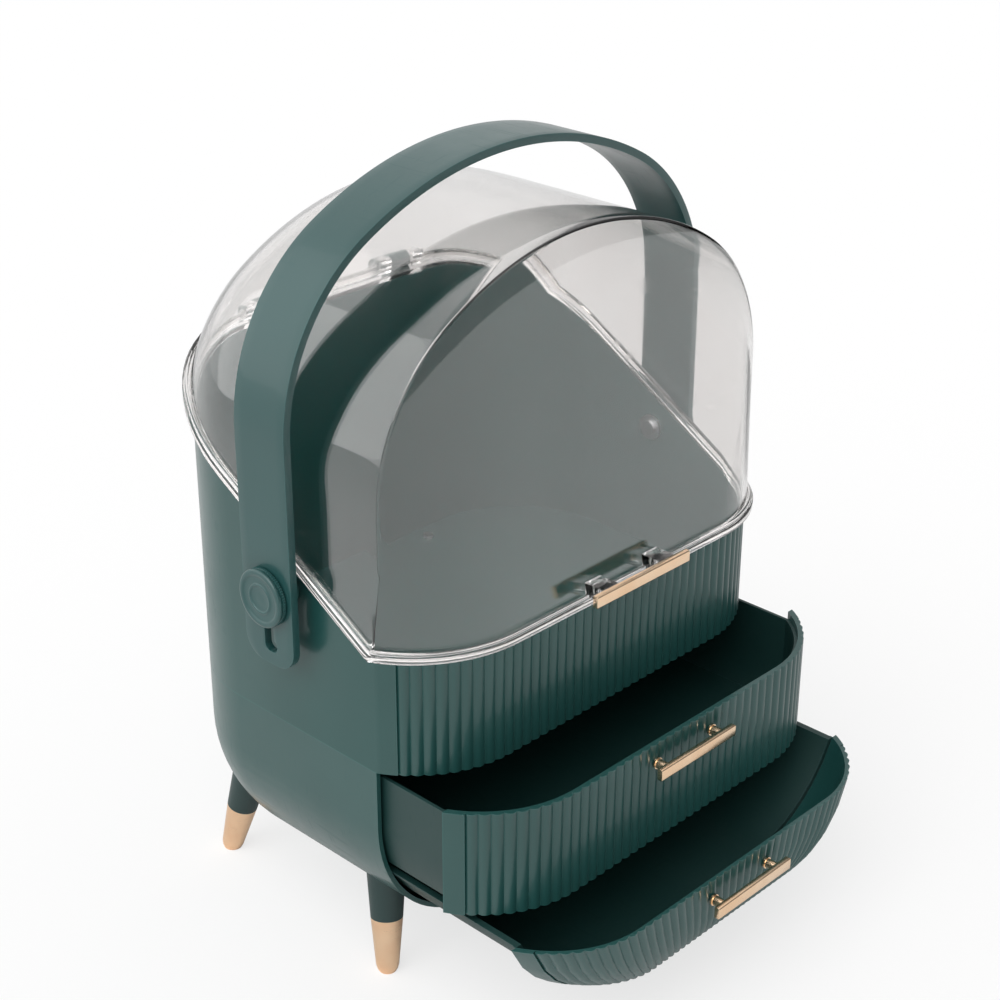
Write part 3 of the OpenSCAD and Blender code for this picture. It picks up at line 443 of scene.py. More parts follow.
def clear_acrylic(name):
    material, tree, shader, where, out = begin_material(name)
    marks = use_group(tree, handling_group, where, Smear_Scale=17.0)
    dust_on = use_group(tree, dust_group, where, Amount=0.25)
    tint = mix_colour(tree, marks.outputs["Smear"], CLEAR_TINT, SMEARED_TINT)
    wire(tree, tint, shader.inputs["Base Color"])
    rough = math_node(tree, "MULTIPLY_ADD", marks.outputs["Smear"], SMEAR_BLURS, POLISHED)
    rough = math_node(tree, "MULTIPLY_ADD", marks.outputs["Scratch"], SCRATCH_BLURS, rough)
    rough = math_node(tree, "MULTIPLY_ADD", dust_on.outputs["Mask"], DUST_BLURS, rough, clamp=True)
    wire(tree, rough, shader.inputs["Roughness"])
    shader.inputs["IOR"].default_value = ACRYLIC_IOR
    shader.inputs["Transmission Weight"].default_value = 1.0
    shader.inputs["Coat Weight"].default_value = ACRYLIC_COAT
    shader.inputs["Coat Roughness"].default_value = ACRYLIC_COAT_ROUGHNESS
    through = node(tree, "ShaderNodeBsdfTransparent")
    through.inputs["Color"].default_value = LIGHT_LET_THROUGH
    light = node(tree, "ShaderNodeLightPath")
    choose = node(tree, "ShaderNodeMixShader")
    wire(tree, light.outputs["Is Shadow Ray"], choose.inputs[0])
    wire(tree, shader.outputs["BSDF"], choose.inputs[1])
    wire(tree, through.outputs["BSDF"], choose.inputs[2])
    wire(tree, choose.outputs["Shader"], out.inputs["Surface"])
    return material


lid_clear = clear_acrylic("lid_clear")
print("clear finish:", lid_clear.name)

# %% [markdown]
# The bars and the leg tips are anodised in a pale rose gold. Bars are brushed along their
# length, tips are turned on a lathe, so the same recipe only stretches its fine lines in a
# different direction.

# %% Finish: gold and steel
LINES_DULL, METAL_SMEAR_DULLS, LINE_STRENGTH = 0.10, 0.06, 0.5
METAL_EDGE_WIDTH, EDGE_SHINE, EDGE_BRIGHTER = 0.0005, 0.5, 1.12


def metal(name, deep, pale, gloss, stretch, line_depth=0.00002):
    material, tree, shader, where, _ = begin_material(name)
    lines = noise(tree, where, 900.0, 2.0, 0.6, stretch)
    cloud = noise(tree, where, 60.0, 3.0, 0.5)
    marks = use_group(tree, handling_group, where, Smear_Scale=70.0)
    edges = use_group(tree, edge_group, Radius=METAL_EDGE_WIDTH)
    colour = mix_colour(tree, spread(tree, cloud, 0.35, 0.65), deep, pale)
    # Painted highlight: along the edges the metal's colour is made brighter, as if light caught them
    bright = mix_colour(tree, math_node(tree, "MULTIPLY", edges.outputs["Mask"], EDGE_SHINE), colour,
                        tuple(min(1.0, c * EDGE_BRIGHTER) for c in pale))
    wire(tree, bright, shader.inputs["Base Color"])
    shader.inputs["Metallic"].default_value = 1.0
    rough = math_node(tree, "MULTIPLY_ADD", lines, LINES_DULL, gloss)
    rough = math_node(tree, "MULTIPLY_ADD", marks.outputs["Smear"], METAL_SMEAR_DULLS, rough)
    wire(tree, rough, shader.inputs["Roughness"])
    bump(tree, shader, lines, line_depth, LINE_STRENGTH)
    return material


bar_gold = metal("bar_gold", (0.95, 0.66, 0.43), (0.99, 0.74, 0.52), 0.15, (0.04, 1.0, 1.0))
tip_gold = metal("tip_gold", (0.93, 0.61, 0.39), (0.98, 0.69, 0.46), 0.24, (0.05, 0.05, 1.0))
screw_steel = metal("screw_steel", (0.52, 0.53, 0.54), (0.62, 0.63, 0.64), 0.28, (0.3, 0.3, 0.3))
print("metal finishes:", bar_gold.name, tip_gold.name, screw_steel.name)

# %% [markdown]
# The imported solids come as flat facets. A small geometry-node modifier welds them and lets
# the shading run smoothly over gentle turns, while real corners stay crisp. It changes no
# vertex, so the frame stays what the construction says.

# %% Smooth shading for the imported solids
SHARP_ANGLE = math.radians(30)


def smoothing_nodes():
    tree = bpy.data.node_groups.new("weld_and_smooth", "GeometryNodeTree")
    tree.interface.new_socket("Geometry", in_out="INPUT", socket_type="NodeSocketGeometry")
    tree.interface.new_socket("Geometry", in_out="OUTPUT", socket_type="NodeSocketGeometry")
    start, end = tree.nodes.new("NodeGroupInput"), tree.nodes.new("NodeGroupOutput")
    weld = tree.nodes.new("GeometryNodeMergeByDistance")
    weld.inputs["Distance"].default_value = CLOSE_JOIN
    angle = tree.nodes.new("GeometryNodeInputMeshEdgeAngle")
    sharp = tree.nodes.new("FunctionNodeCompare")
    sharp.operation = "GREATER_THAN"
    sharp.inputs[1].default_value = SHARP_ANGLE
    normals = tree.nodes.new("GeometryNodeSetMeshNormal")
    normals.inputs["Remove Custom"].default_value = True
    normals.inputs["Face Sharpness"].default_value = False
    wire(tree, start.outputs[0], weld.inputs["Geometry"])
    wire(tree, weld.outputs["Geometry"], normals.inputs["Mesh"])
    wire(tree, angle.outputs["Unsigned Angle"], sharp.inputs[0])
    wire(tree, sharp.outputs["Result"], normals.inputs["Edge Sharpness"])
    wire(tree, normals.outputs["Mesh"], end.inputs[0])
    return tree


smoothing = smoothing_nodes()
for solid in nodes.values():
    solid.modifiers.new("weld_and_smooth", "NODES").node_group = smoothing
print("smoothed solids:", len(nodes))

# %% [markdown]
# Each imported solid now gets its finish. Most are named one by one; the legs, the tips and the
# fasteners are known by the ends of their names.

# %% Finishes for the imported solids
FINISHES = {
    "lower_housing": body_green, "upper_tray": body_green,
    "upper_drawer_front": body_green, "lower_drawer_front": body_green,
    "upper_drawer_box": drawer_green_painted_shade, "lower_drawer_box": drawer_green_painted_shade,
    "drawer_rail_left": drawer_green_painted_shade, "drawer_rail_right": drawer_green_painted_shade,
    "handle_strap": strap_green, "pivot_disc_left": strap_green, "pivot_disc_right": strap_green,
    "clear_lid": lid_clear,
    "lid_pull_bar": bar_gold, "upper_drawer_pull": bar_gold, "lower_drawer_pull": bar_gold,
}
for name, solid in nodes.items():
    finish = FINISHES.get(name)
    if finish is None:
        finish = leg_green if name.endswith("_leg") else tip_gold if name.endswith("_tip") else screw_steel
    for slot in solid.material_slots:
        slot.material = finish
print("finished solids:", len(nodes))

# %% [markdown]
# The lid is the piece that the picture is about: a barrel-shaped dome that closes in a
# rounded back, with a bowed front panel that rises from the rim to a flat arch. It could be
# carved from a block, but a thin wall is easier as a sheet: a grid whose columns run over
# the arch and whose rows run from the front foot to the back, bent into place by formula.

# %% The lid's curves
LID_SHOULDER_R, LID_TOP_R, LID_TOP = 92.0, 183.0, 250.0
LID_OUT, LID_WALL, LID_FRONT_OUT = 1.0, 2.2, 7.0
LID_BACK_RUN, LID_BACK_DROP, LID_BACK_R = 58.0, 66.0, 77.0
LID_HALF_W, LID_BACK_Y = HALF_W + LID_OUT, BODY_D + LID_OUT
FOOT_ABOVE_RIM = 3.3
# Over this many times LID_FRONT_OUT of height the front arch leans out to its full distance
FOOT_LEAN = 6
crown_turn = math.asin((LID_HALF_W - LID_SHOULDER_R) / (LID_TOP_R - LID_SHOULDER_R))
spring_z = LID_TOP - LID_TOP_R + (LID_TOP_R - LID_SHOULDER_R) * math.cos(crown_turn)
arc_dx = math.sqrt(BOW_R ** 2 - (BOW_R - BOW) ** 2)
flat_x = HALF_W - arc_dx


def bow_end(inset):
    return flat_x + BOW_R * math.asin((arc_dx - inset) / (BOW_R - inset))


def bow(s, out):
    turn = max(abs(s) - flat_x, 0) / BOW_R
    return (math.copysign(min(abs(s), flat_x) + (BOW_R + out) * math.sin(turn), s),
            BOW_R - BOW - (BOW_R + out) * math.cos(turn))


def rim_z(y):
    return RIM_FRONT + RIM_SLOPE * max(y, 0)


def foot_z(y):
    return rim_z(y) + FOOT_ABOVE_RIM


def arch_point(length, inset):
    top_r, shoulder_r = LID_TOP_R - inset, LID_SHOULDER_R - inset
    crown, shoulder = top_r * crown_turn, shoulder_r * (math.pi / 2 - crown_turn)
    if length < crown:
        a = length / top_r
        return top_r * math.sin(a), LID_TOP - LID_TOP_R + top_r * math.cos(a)
    if length < crown + shoulder:
        a = crown_turn + (length - crown) / shoulder_r
        return LID_HALF_W - LID_SHOULDER_R + shoulder_r * math.sin(a), spring_z + shoulder_r * math.cos(a)
    return LID_HALF_W - inset, spring_z - (length - crown - shoulder)


def arch_length(z, inset):
    top_r, shoulder_r = LID_TOP_R - inset, LID_SHOULDER_R - inset
    if z < spring_z:
        return top_r * crown_turn + shoulder_r * (math.pi / 2 - crown_turn) + spring_z - z
    return top_r * crown_turn + shoulder_r * (math.acos(min(1, (z - spring_z) / shoulder_r)) - crown_turn)


def back_share(y, run, inset):
    u = max(0.0, y - (LID_BACK_Y - run)) / (run - inset)
    return math.sqrt(max(0.0, 1 - u * u))


def plan_half_w(y, inset):
    r, dy = BACK_R + LID_OUT - inset, max(0.0, y - (BODY_D - BACK_R))
    return HALF_W - BACK_R + math.sqrt(max(0.0, r * r - min(dy, r) ** 2))


print("arch springs at", round(spring_z, 2), "mm above the seam")

# %% [markdown]
# A station is one row of the dome. The front stations keep the arch's full width, and the
# back ones draw in along two quarter ellipses, one for the width and one for the height, so
# they stand closer together where the dome turns down. The panel's rows run straight from
# the bowed foot to the first station.

# %% Points of the dome and of the front panel
DOME_ROWS_FLAT, DOME_ROWS_BACK, PANEL_ROWS, LID_COLUMNS = 12, 20, 8, 96


def station(row, inset):
    start, bend, end = inset - LID_FRONT_OUT, LID_BACK_Y - LID_BACK_R, LID_BACK_Y - inset
    if row <= DOME_ROWS_FLAT:
        return start + (bend - start) * row / DOME_ROWS_FLAT
    return bend + (end - bend) * math.sin(math.pi / 2 * (row - DOME_ROWS_FLAT) / DOME_ROWS_BACK)


def dome_point(row, side, inset):
    y, share = station(row, inset), abs(side)
    base = foot_z(y)
    length = arch_length(base, inset)
    p = arch_point(length * share, inset)
    crown_z = LID_TOP - inset - LID_BACK_DROP * (1 - back_share(y, LID_BACK_RUN, inset))
    rise = (crown_z - base) / (LID_TOP - inset - base)
    foot_share = plan_half_w(y, inset) / arch_point(length, inset)[0]
    crown_share = 1 - (1 - back_share(y, LID_BACK_R, inset)) * LID_BACK_R / LID_HALF_W
    feet = min(1.0, max(0.0, (p[1] - base) / LID_FRONT_OUT / FOOT_LEAN)) if row == 0 else 1.0
    width = crown_share + (foot_share - crown_share) * share ** 3
    return (math.copysign(p[0], side) * width if side else 0.0, y * feet, base + (p[1] - base) * rise)


def panel_point(row, side, inset):
    top, share = dome_point(0, side, inset), row / PANEL_ROWS
    foot = bow(bow_end(inset - LID_OUT) * side, LID_OUT - inset)
    return (foot[0] + (top[0] - foot[0]) * share, foot[1] + (top[1] - foot[1]) * share,
            foot_z(0) + (top[2] - foot_z(0)) * share)


def lid_point(row, side, inset):
    if row < PANEL_ROWS:
        return panel_point(row, side, inset)
    return dome_point(row - PANEL_ROWS, side, inset)


print("crown of the front arch:", [round(v, 1) for v in dome_point(0, 0.0, 0.0)])

# %% [markdown]
# Both skins of the wall are the same grid bent to a different inset. Its columns and rows are
# rounded back from the plain grid's places, and the open back is filled with one face.

# %% One skin of the lid


def lid_skin(name, inset):
    rows = PANEL_ROWS + DOME_ROWS_FLAT + DOME_ROWS_BACK
    bpy.ops.object.select_all(action="DESELECT")
    bpy.ops.mesh.primitive_grid_add(x_subdivisions=LID_COLUMNS, y_subdivisions=rows, size=1)
    skin = added(name)
    for vertex in skin.data.vertices:
        side = round((vertex.co.x + 0.5) * LID_COLUMNS) / LID_COLUMNS * 2 - 1
        row = round((vertex.co.y + 0.5) * rows)
        vertex.co = place(*lid_point(row, side, inset))
    edit(skin)
    last = (LID_BACK_Y - inset + FRONT_CORNER_Y) * MM
    pick(skin, "VERT", lambda v: abs(v.co.y - last) < 1e-6)
    bpy.ops.mesh.edge_face_add()
    bpy.ops.mesh.select_all(action="SELECT")
    bpy.ops.mesh.remove_doubles(threshold=SEAM_JOIN)
    leave()
    return skin


outer_skin = lid_skin("dome_lid", 0.0)
inner_skin = lid_skin("dome_inside", LID_WALL)
print("outer skin vertices:", len(outer_skin.data.vertices))

# %% [markdown]
# The rim is a flange with a bead on it, and the lid's foot grows out of it. Its profile is
# walked from the outer foot: up round the bead, out over the flange, round its edge and back
# beneath it. At every step the foot's open edge is extruded, and each new point is moved to
# that distance out of the body's outline and that height over the tray's rim.

# %% The rim, extruded ring by ring from the outer foot
# Distance out of the body's outline and height over the tray's rim
RIM_PROFILE = [(1.45, 3.42), (1.6, 3.7), (1.6, 5.5), (1.72, 5.78), (2.0, 5.9), (2.7, 5.9), (2.98, 5.78),
               (3.1, 5.5), (3.1, 3.75), (3.25, 3.4), (4.15, 3.3), (4.4, 3.18), (4.5, 2.9), (4.5, 0.7),
               (4.4, 0.42), (4.15, 0.3), (-2.7, 0.3), (-3.0, 0.6), (-3.0, 3.0), (-2.7, 3.3)]


def rim_place(point, out, high):
    """Moves a foot point to a distance out of the body's outline and a height over the rim."""
    x, y = point.x / MM, point.y / MM - FRONT_CORNER_Y
    side, centre_y = math.copysign(1, x), BODY_D - BACK_R
    if y > centre_y:
        arm = Vector((abs(x) - (HALF_W - BACK_R), y - centre_y)).normalized() * (BACK_R + out)
        x, y = side * (HALF_W - BACK_R + arm.x), centre_y + arm.y
    elif y > 1e-3:
        x = side * (HALF_W + out)
    else:
        turn = math.asin(min(1.0, max(0.0, abs(x) - flat_x) / (BOW_R + LID_OUT)))
        s = side * (min(abs(x), flat_x) + BOW_R * turn)
        x, y = bow(s * bow_end(-out) / bow_end(-LID_OUT), out)
    return place(x, y, rim_z(y) + high)


def foot_loop(skin):
    """Selects the open edge along the lid's foot."""
    return pick(skin, "EDGE", lambda e: len(e.link_faces) == 1)


edit(outer_skin)
foot_loop(outer_skin)
feet = {v.index: v.co.copy() for v in cage(outer_skin).verts if v.select}
for out, high in RIM_PROFILE:
    known = [(v.co.copy(), v.index) for v in cage(outer_skin).verts if v.select]
    bpy.ops.mesh.extrude_edges_indiv()
    mesh = cage(outer_skin)
    fresh = [v for v in mesh.verts if v.select]
    origin = {}
    for co, index in known:
        origin[tuple(round(c, 7) for c in co)] = feet[index]
    feet = {}
    for v in fresh:
        start = origin[tuple(round(c, 7) for c in v.co)]
        feet[v.index] = start
        v.co = rim_place(start, out, high)
    bmesh.update_edit_mesh(outer_skin.data)
leave()
print("rim rings:", len(RIM_PROFILE), "vertices:", len(outer_skin.data.vertices))

# %% [markdown]
# The inner skin is turned over, so that its faces point into the dome, and joined to the
# outer one. Bridging the two open edges then closes the wall.

# %% Join both skins into one closed wall
edit(inner_skin)
bpy.ops.mesh.select_all(action="SELECT")
bpy.ops.mesh.flip_normals()
leave()
only(outer_skin)
inner_skin.select_set(True)
bpy.ops.object.join()
dome_lid = outer_skin
edit(dome_lid)
open_count = foot_loop(dome_lid)
bpy.ops.mesh.bridge_edge_loops()
leave()
tidy(dome_lid)
print("open edges before bridging:", open_count, "and after:", open_edges(dome_lid))

# %% [markdown]
# Where the front panel meets the dome, a moulded lid has a soft fold and no knife edge. The
# fold is the first station's arch, above the foot, and it is bevelled.

# %% Soften the fold between the panel and the dome
FOLD_R, FOLD_STARTS = 1.6, 20
edit(dome_lid)


def on_fold(vertex, inset):
    y = vertex.co.y / MM - FRONT_CORNER_Y
    return abs(y - (inset - LID_FRONT_OUT)) < 0.01 and vertex.co.z > place(0, 0, foot_z(0) + FOLD_STARTS).z


folds = pick(dome_lid, "EDGE", lambda e: all(on_fold(v, 0.0) for v in e.verts))
bpy.ops.mesh.bevel(offset=FOLD_R * MM, offset_type="OFFSET", segments=4, profile=0.5, affect="EDGES")
leave()
smooth(dome_lid, 32)
print("fold edges rounded:", folds, "open edges:", open_edges(dome_lid))

# %% [markdown]
# Two clear lugs reach out from the front of the rim to hold the pull bar, and four clear
# knuckles reach back to the hinge pins. They are modelled as blocks and barrels, then made
# one with the lid, as they leave the mould in one piece with it.

# %% Lugs and knuckles of the lid
LUG_W, LUG_H, LUG_X, LUG_ROOT_DROP = 12.0, 5.6, 22.0, 2.6
BAR_FACE_Y, LID_BAR_Z = 48.0, RIM_FRONT + 0.3 + 3.0 + 2.6 + 2.8
KNUCKLE_W, KNUCKLE_R, LID_KNUCKLE_W, PIN_R = 16.0, 4.6, 8.0, 1.6


def block(name, x0, x1, y0, y1, z0, z1):
    low, high = place(x0, y0, z0), place(x1, y1, z1)
    bpy.ops.object.select_all(action="DESELECT")
    bpy.ops.mesh.primitive_cube_add(size=1)
    piece = added(name)
    size, middle = high - low, (high + low) / 2
    for vertex in piece.data.vertices:
        vertex.co = Vector(vertex.co[i] * size[i] + middle[i] for i in range(3))
    return piece


def round_edges(piece, width, segments=2, test=None):
    edit(piece)
    count = pick(piece, "EDGE", test or (lambda e: e.calc_face_angle(0) > 0.6))
    bpy.ops.mesh.bevel(offset=width * MM, offset_type="OFFSET", segments=segments, profile=0.5,
                       affect="EDGES", clamp_overlap=True)
    leave()
    return count


def barrel(name, radius, x0, x1, y, z, sides=40):
    low, high = place(x0, y, z), place(x1, y, z)
    bpy.ops.object.select_all(action="DESELECT")
    bpy.ops.mesh.primitive_cylinder_add(vertices=sides, radius=radius * MM, depth=(high - low).length)
    piece = added(name)
    piece.data.transform(Matrix.Translation((low + high) / 2) @ Matrix.Rotation(math.pi / 2, 4, "Y"))
    return piece


clear_bits = []
for side in (-1, 1):
    lug = block("lug", side * LUG_X - LUG_W / 2, side * LUG_X + LUG_W / 2, -BAR_FACE_Y, -BOW + 0.6,
                LID_BAR_Z - LUG_H / 2, LID_BAR_Z + LUG_H / 2)
    edit(lug)
    pick(lug, "VERT", lambda v: v.co.y > place(0, -BOW, 0).y and v.co.z < place(0, 0, LID_BAR_Z).z)
    bpy.ops.transform.translate(value=(0, 0, -LUG_ROOT_DROP * MM))
    leave()
    round_edges(lug, 0.5, 2)
    clear_bits.append(lug)
for middle in (-HINGE_X, HINGE_X):
    for side in (-1, 1):
        near = middle + side * (KNUCKLE_W / 2 + 0.3)
        x0, x1 = sorted((near, near + side * LID_KNUCKLE_W))
        knuckle = barrel("lid_knuckle", KNUCKLE_R, x0, x1, HINGE_Y, HINGE_Z, 64)
        web = block("lid_web", x0, x1, BODY_D + 0.5, HINGE_Y, HINGE_Z - 1.3, HINGE_Z + KNUCKLE_R - 0.05)
        clear_bits += [knuckle, web]
print("clear lugs, knuckles and webs:", len(clear_bits))

# %% [markdown]
# Exact booleans add the lugs and knuckles to the lid, clear a notch for each of the tray's
# knuckles and bore the holes for the pins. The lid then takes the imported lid's place.

# %% Make them one with the lid


def boolean(piece, tool, operation):
    faces_before = len(piece.data.polygons)
    add_modifier(piece, "BOOLEAN", operation=operation, solver="EXACT", object=tool)
    apply_modifiers(piece)
    bpy.data.objects.remove(tool)
    return len(piece.data.polygons) - faces_before


for bit in clear_bits:
    boolean(dome_lid, bit, "UNION")
for middle in (-HINGE_X, HINGE_X):
    notch = block("notch", middle - KNUCKLE_W / 2 - 0.3, middle + KNUCKLE_W / 2 + 0.3,
                  HINGE_Y - KNUCKLE_R - 0.7, HINGE_Y + 12, HINGE_Z - 20, HINGE_Z + 20)
    boolean(dome_lid, notch, "DIFFERENCE")
    bore = barrel("bore", PIN_R + 0.05, middle - 24, middle + 24, HINGE_Y, HINGE_Z, 32)
    boolean(dome_lid, bore, "DIFFERENCE")
tidy(dome_lid)
smooth(dome_lid, 32)
dome_lid.data.materials.clear()
dome_lid.data.materials.append(lid_clear)
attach(dome_lid, "lid")
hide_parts("clear_lid")
print("lid faces:", len(dome_lid.data.polygons), "open edges:", open_edges(dome_lid))

# %% [markdown]
# The carrying strap is one flat band bent over the dome: an upright leg, a tight shoulder and
# a wide crown, with the same again on the other side. It could be cut from a block, but its
# width and thickness never change, so only its outside curve has to be written down.

# %% The strap's curve
STRAP_HALF_W, STRAP_TOP, STRAP_SHOULDER_R, STRAP_TOP_R = 153.5, 282.0, 104.0, 207.0
STRAP_W, STRAP_T, PIVOT_Y, PIVOT_Z, LIFT, LEG_BELOW, LEG_CORNER_R = 36.0, 4.2, 61.0, 81.5, 27.5, 38.0, 12.0
strap_c_x = STRAP_HALF_W - STRAP_SHOULDER_R
strap_turn = math.acos(strap_c_x / (STRAP_TOP_R - STRAP_SHOULDER_R))
strap_spring = STRAP_TOP - STRAP_TOP_R + (STRAP_TOP_R - STRAP_SHOULDER_R) * math.sin(strap_turn)
strap_low = PIVOT_Z - LEG_BELOW
strap_lengths = (strap_spring - strap_low, STRAP_SHOULDER_R * strap_turn,
                 STRAP_TOP_R * (math.pi / 2 - strap_turn))


def strap_outside(length):
    """Point of the band's outside at a length up from the foot of the right leg."""
    upright, shoulder, _ = strap_lengths
    if length <= upright:
        return STRAP_HALF_W, strap_low + length
    if length <= upright + shoulder:
        a = (length - upright) / STRAP_SHOULDER_R
        return strap_c_x + STRAP_SHOULDER_R * math.cos(a), strap_spring + STRAP_SHOULDER_R * math.sin(a)
    a = strap_turn + (length - upright - shoulder) / STRAP_TOP_R
    return STRAP_TOP_R * math.cos(a), STRAP_TOP - STRAP_TOP_R + STRAP_TOP_R * math.sin(a)


def leg_half_width(length):
    """Half of the band's width; its two lower corners are rounded."""
    if length >= LEG_CORNER_R:
        return STRAP_W / 2
    rest = LEG_CORNER_R - length
    return STRAP_W / 2 - LEG_CORNER_R + math.sqrt(max(0.0, LEG_CORNER_R ** 2 - rest ** 2))


print("band length:", round(2 * sum(strap_lengths), 1), "mm")

# %% [markdown]
# As a sheet the strap is a grid that follows that curve. Its rows stand closer together in
# the round corners at its two ends, and Solidify gives it its thickness, to the inside.

# %% The strap as a thick sheet
corner_steps, upright_steps, bend_steps = 10, 14, 64
stops = [LEG_CORNER_R * (1 - math.cos(math.pi / 2 * i / corner_steps)) for i in range(corner_steps + 1)]
upright = strap_lengths[0]
stops += [LEG_CORNER_R + (upright - LEG_CORNER_R) * i / upright_steps for i in range(1, upright_steps + 1)]
half_length = sum(strap_lengths)
stops += [upright + (half_length - upright) * i / bend_steps for i in range(1, bend_steps + 1)]
stops += [2 * half_length - s for s in reversed(stops[:-1])]
WIDTH_CELLS = 6
bpy.ops.object.select_all(action="DESELECT")
bpy.ops.mesh.primitive_grid_add(x_subdivisions=len(stops) - 1, y_subdivisions=WIDTH_CELLS, size=1)
carry_strap = added("carry_strap")
for vertex in carry_strap.data.vertices:
    along = stops[round((vertex.co.x + 0.5) * (len(stops) - 1))]
    mirrored = along > half_length
    length = 2 * half_length - along if mirrored else along
    x, z = strap_outside(length)
    y = PIVOT_Y + vertex.co.y * 2 * leg_half_width(length)
    vertex.co = place(-x if mirrored else x, y, z)
tidy(carry_strap, LOOSE_JOIN)
add_modifier(carry_strap, "SOLIDIFY", thickness=STRAP_T * MM, offset=-1.0, use_even_offset=True)
apply_modifiers(carry_strap)
low, high = [Vector([f(v.co[i] for v in carry_strap.data.vertices) for i in range(3)]) for f in (min, max)]
print("strap box:", [round(v, 4) for v in low], [round(v, 4) for v in high])

# %% [markdown]
# In each leg a slot, with a small hook at its foot, lets the strap slide on its pivot. It is
# cut with a punch of that shape, and every edge is then rounded a little, as the mould
# leaves it.

# %% Punch the slots and round the band's edges
SLOT_R, SLOT_HOOK = 3.5, 2.2


def slot_punch(side):
    """A stadium with a small hook at its foot, long enough to pass through one leg."""
    x0, x1 = sorted((side * (STRAP_HALF_W - STRAP_T - 2), side * (STRAP_HALF_W + 2)))
    punch = barrel("slot_punch", SLOT_R, x0, x1, PIVOT_Y, PIVOT_Z, 48)
    foot = barrel("slot_foot", SLOT_R, x0, x1, PIVOT_Y, PIVOT_Z - LIFT, 48)
    hook = barrel("slot_hook", SLOT_R, x0, x1, PIVOT_Y - SLOT_HOOK, PIVOT_Z - LIFT, 48)
    run = block("slot_run", x0, x1, PIVOT_Y - SLOT_R, PIVOT_Y + SLOT_R, PIVOT_Z - LIFT, PIVOT_Z)
    for part in (foot, hook, run):
        boolean(punch, part, "UNION")
    return punch


for side in (-1, 1):
    boolean(carry_strap, slot_punch(side), "DIFFERENCE")
tidy(carry_strap)
rounded_edges = round_edges(carry_strap, 0.7, 3, lambda e: e.calc_face_angle(0) > math.radians(60))
smooth(carry_strap, 40)
carry_strap.data.materials.append(strap_green)
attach(carry_strap, "handle")
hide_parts("handle_strap")
print("rounded strap edges:", rounded_edges, "open edges:", open_edges(carry_strap))

# %% [markdown]
# Each pivot disc is a turned shape: a knurled edge against the strap, a smooth cap with a
# raised outer ring, and a shallow ring in its middle. Rings are extruded one from another,
# each with its own radius and height, and every second point of the knurled rings sits lower.

# %% The pivot discs
DISC_SIDES, KNURL = 144, 0.45
DISC_PROFILE = [  # radius, height, knurled
    (3.2, -17.2, False), (3.2, 0.0, False), (13.6, 0.0, False), (14.9, 0.15, True), (15.35, 0.5, True),
    (15.35, 1.9, True), (14.9, 2.15, True), (14.55, 2.2, False), (14.55, 2.5, False), (15.1, 2.7, False),
    (15.45, 3.1, False), (15.5, 3.7, False), (15.3, 4.35, False), (14.85, 4.8, False), (14.2, 5.0, False),
    (13.2, 5.0, False), (12.6, 4.85, False), (12.1, 4.45, False), (11.6, 4.3, False), (8.6, 4.25, False),
    (8.2, 4.35, False), (7.9, 4.7, False), (7.5, 4.8, False), (7.0, 4.7, False), (6.7, 4.35, False),
    (6.2, 4.2, False), (2.5, 4.3, False), (0.4, 4.33, False)]


def turned_disc(name, side):
    radius, height, _ = DISC_PROFILE[0]
    bpy.ops.object.select_all(action="DESELECT")
    bpy.ops.mesh.primitive_circle_add(vertices=DISC_SIDES, radius=radius, fill_type="NGON")
    disc = added(name)
    edit(disc)
    bpy.ops.mesh.select_all(action="SELECT")
    bpy.ops.transform.translate(value=(0, 0, height))
    pick(disc, "EDGE", lambda e: len(e.link_faces) == 1)
    for radius, height, knurled in DISC_PROFILE[1:]:
        bpy.ops.mesh.extrude_edges_indiv()
        for v in cage(disc).verts:
            if v.select:
                angle = math.atan2(v.co.y, v.co.x)
                tooth = round((angle + math.pi) / (2 * math.pi) * DISC_SIDES) % 2
                r = radius - (KNURL if knurled and tooth else 0)
                v.co = Vector((r * math.cos(angle), r * math.sin(angle), height))
        bmesh.update_edit_mesh(disc.data)
    bpy.ops.mesh.edge_face_add()
    leave()
    face_x = place(side * (STRAP_HALF_W + 0.3), PIVOT_Y, PIVOT_Z)
    turn = Matrix.Rotation(side * math.pi / 2, 4, "Y")
    disc.data.transform(Matrix.Translation(face_x) @ turn @ Matrix.Scale(MM, 4))
    tidy(disc)
    smooth(disc, 38)
    disc.data.materials.append(strap_green)
    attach(disc, "handle_pivots")
    return disc


for name, side in (("ringed_disc_left", -1), ("ringed_disc_right", 1)):
    disc = turned_disc(name, side)
    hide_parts(name.replace("ringed_disc", "pivot_disc"))
    print(name, "faces:", len(disc.data.polygons), "open edges:", open_edges(disc))

# %% [markdown]
# The three pulls are flat bars with softened edges. On the drawers each stands on two round
# posts with a small collar; on the lid the same bar sits on the clear lugs. One function
# makes all three, and takes each one's place from the solid that it stands for.

# %% The pull bars
BAR_T, BAR_H, POST_R, POST_X = 3.2, 6.5, 2.6, 22.0
COLLAR_L, COLLAR_SWELL = 1.0, 1.22


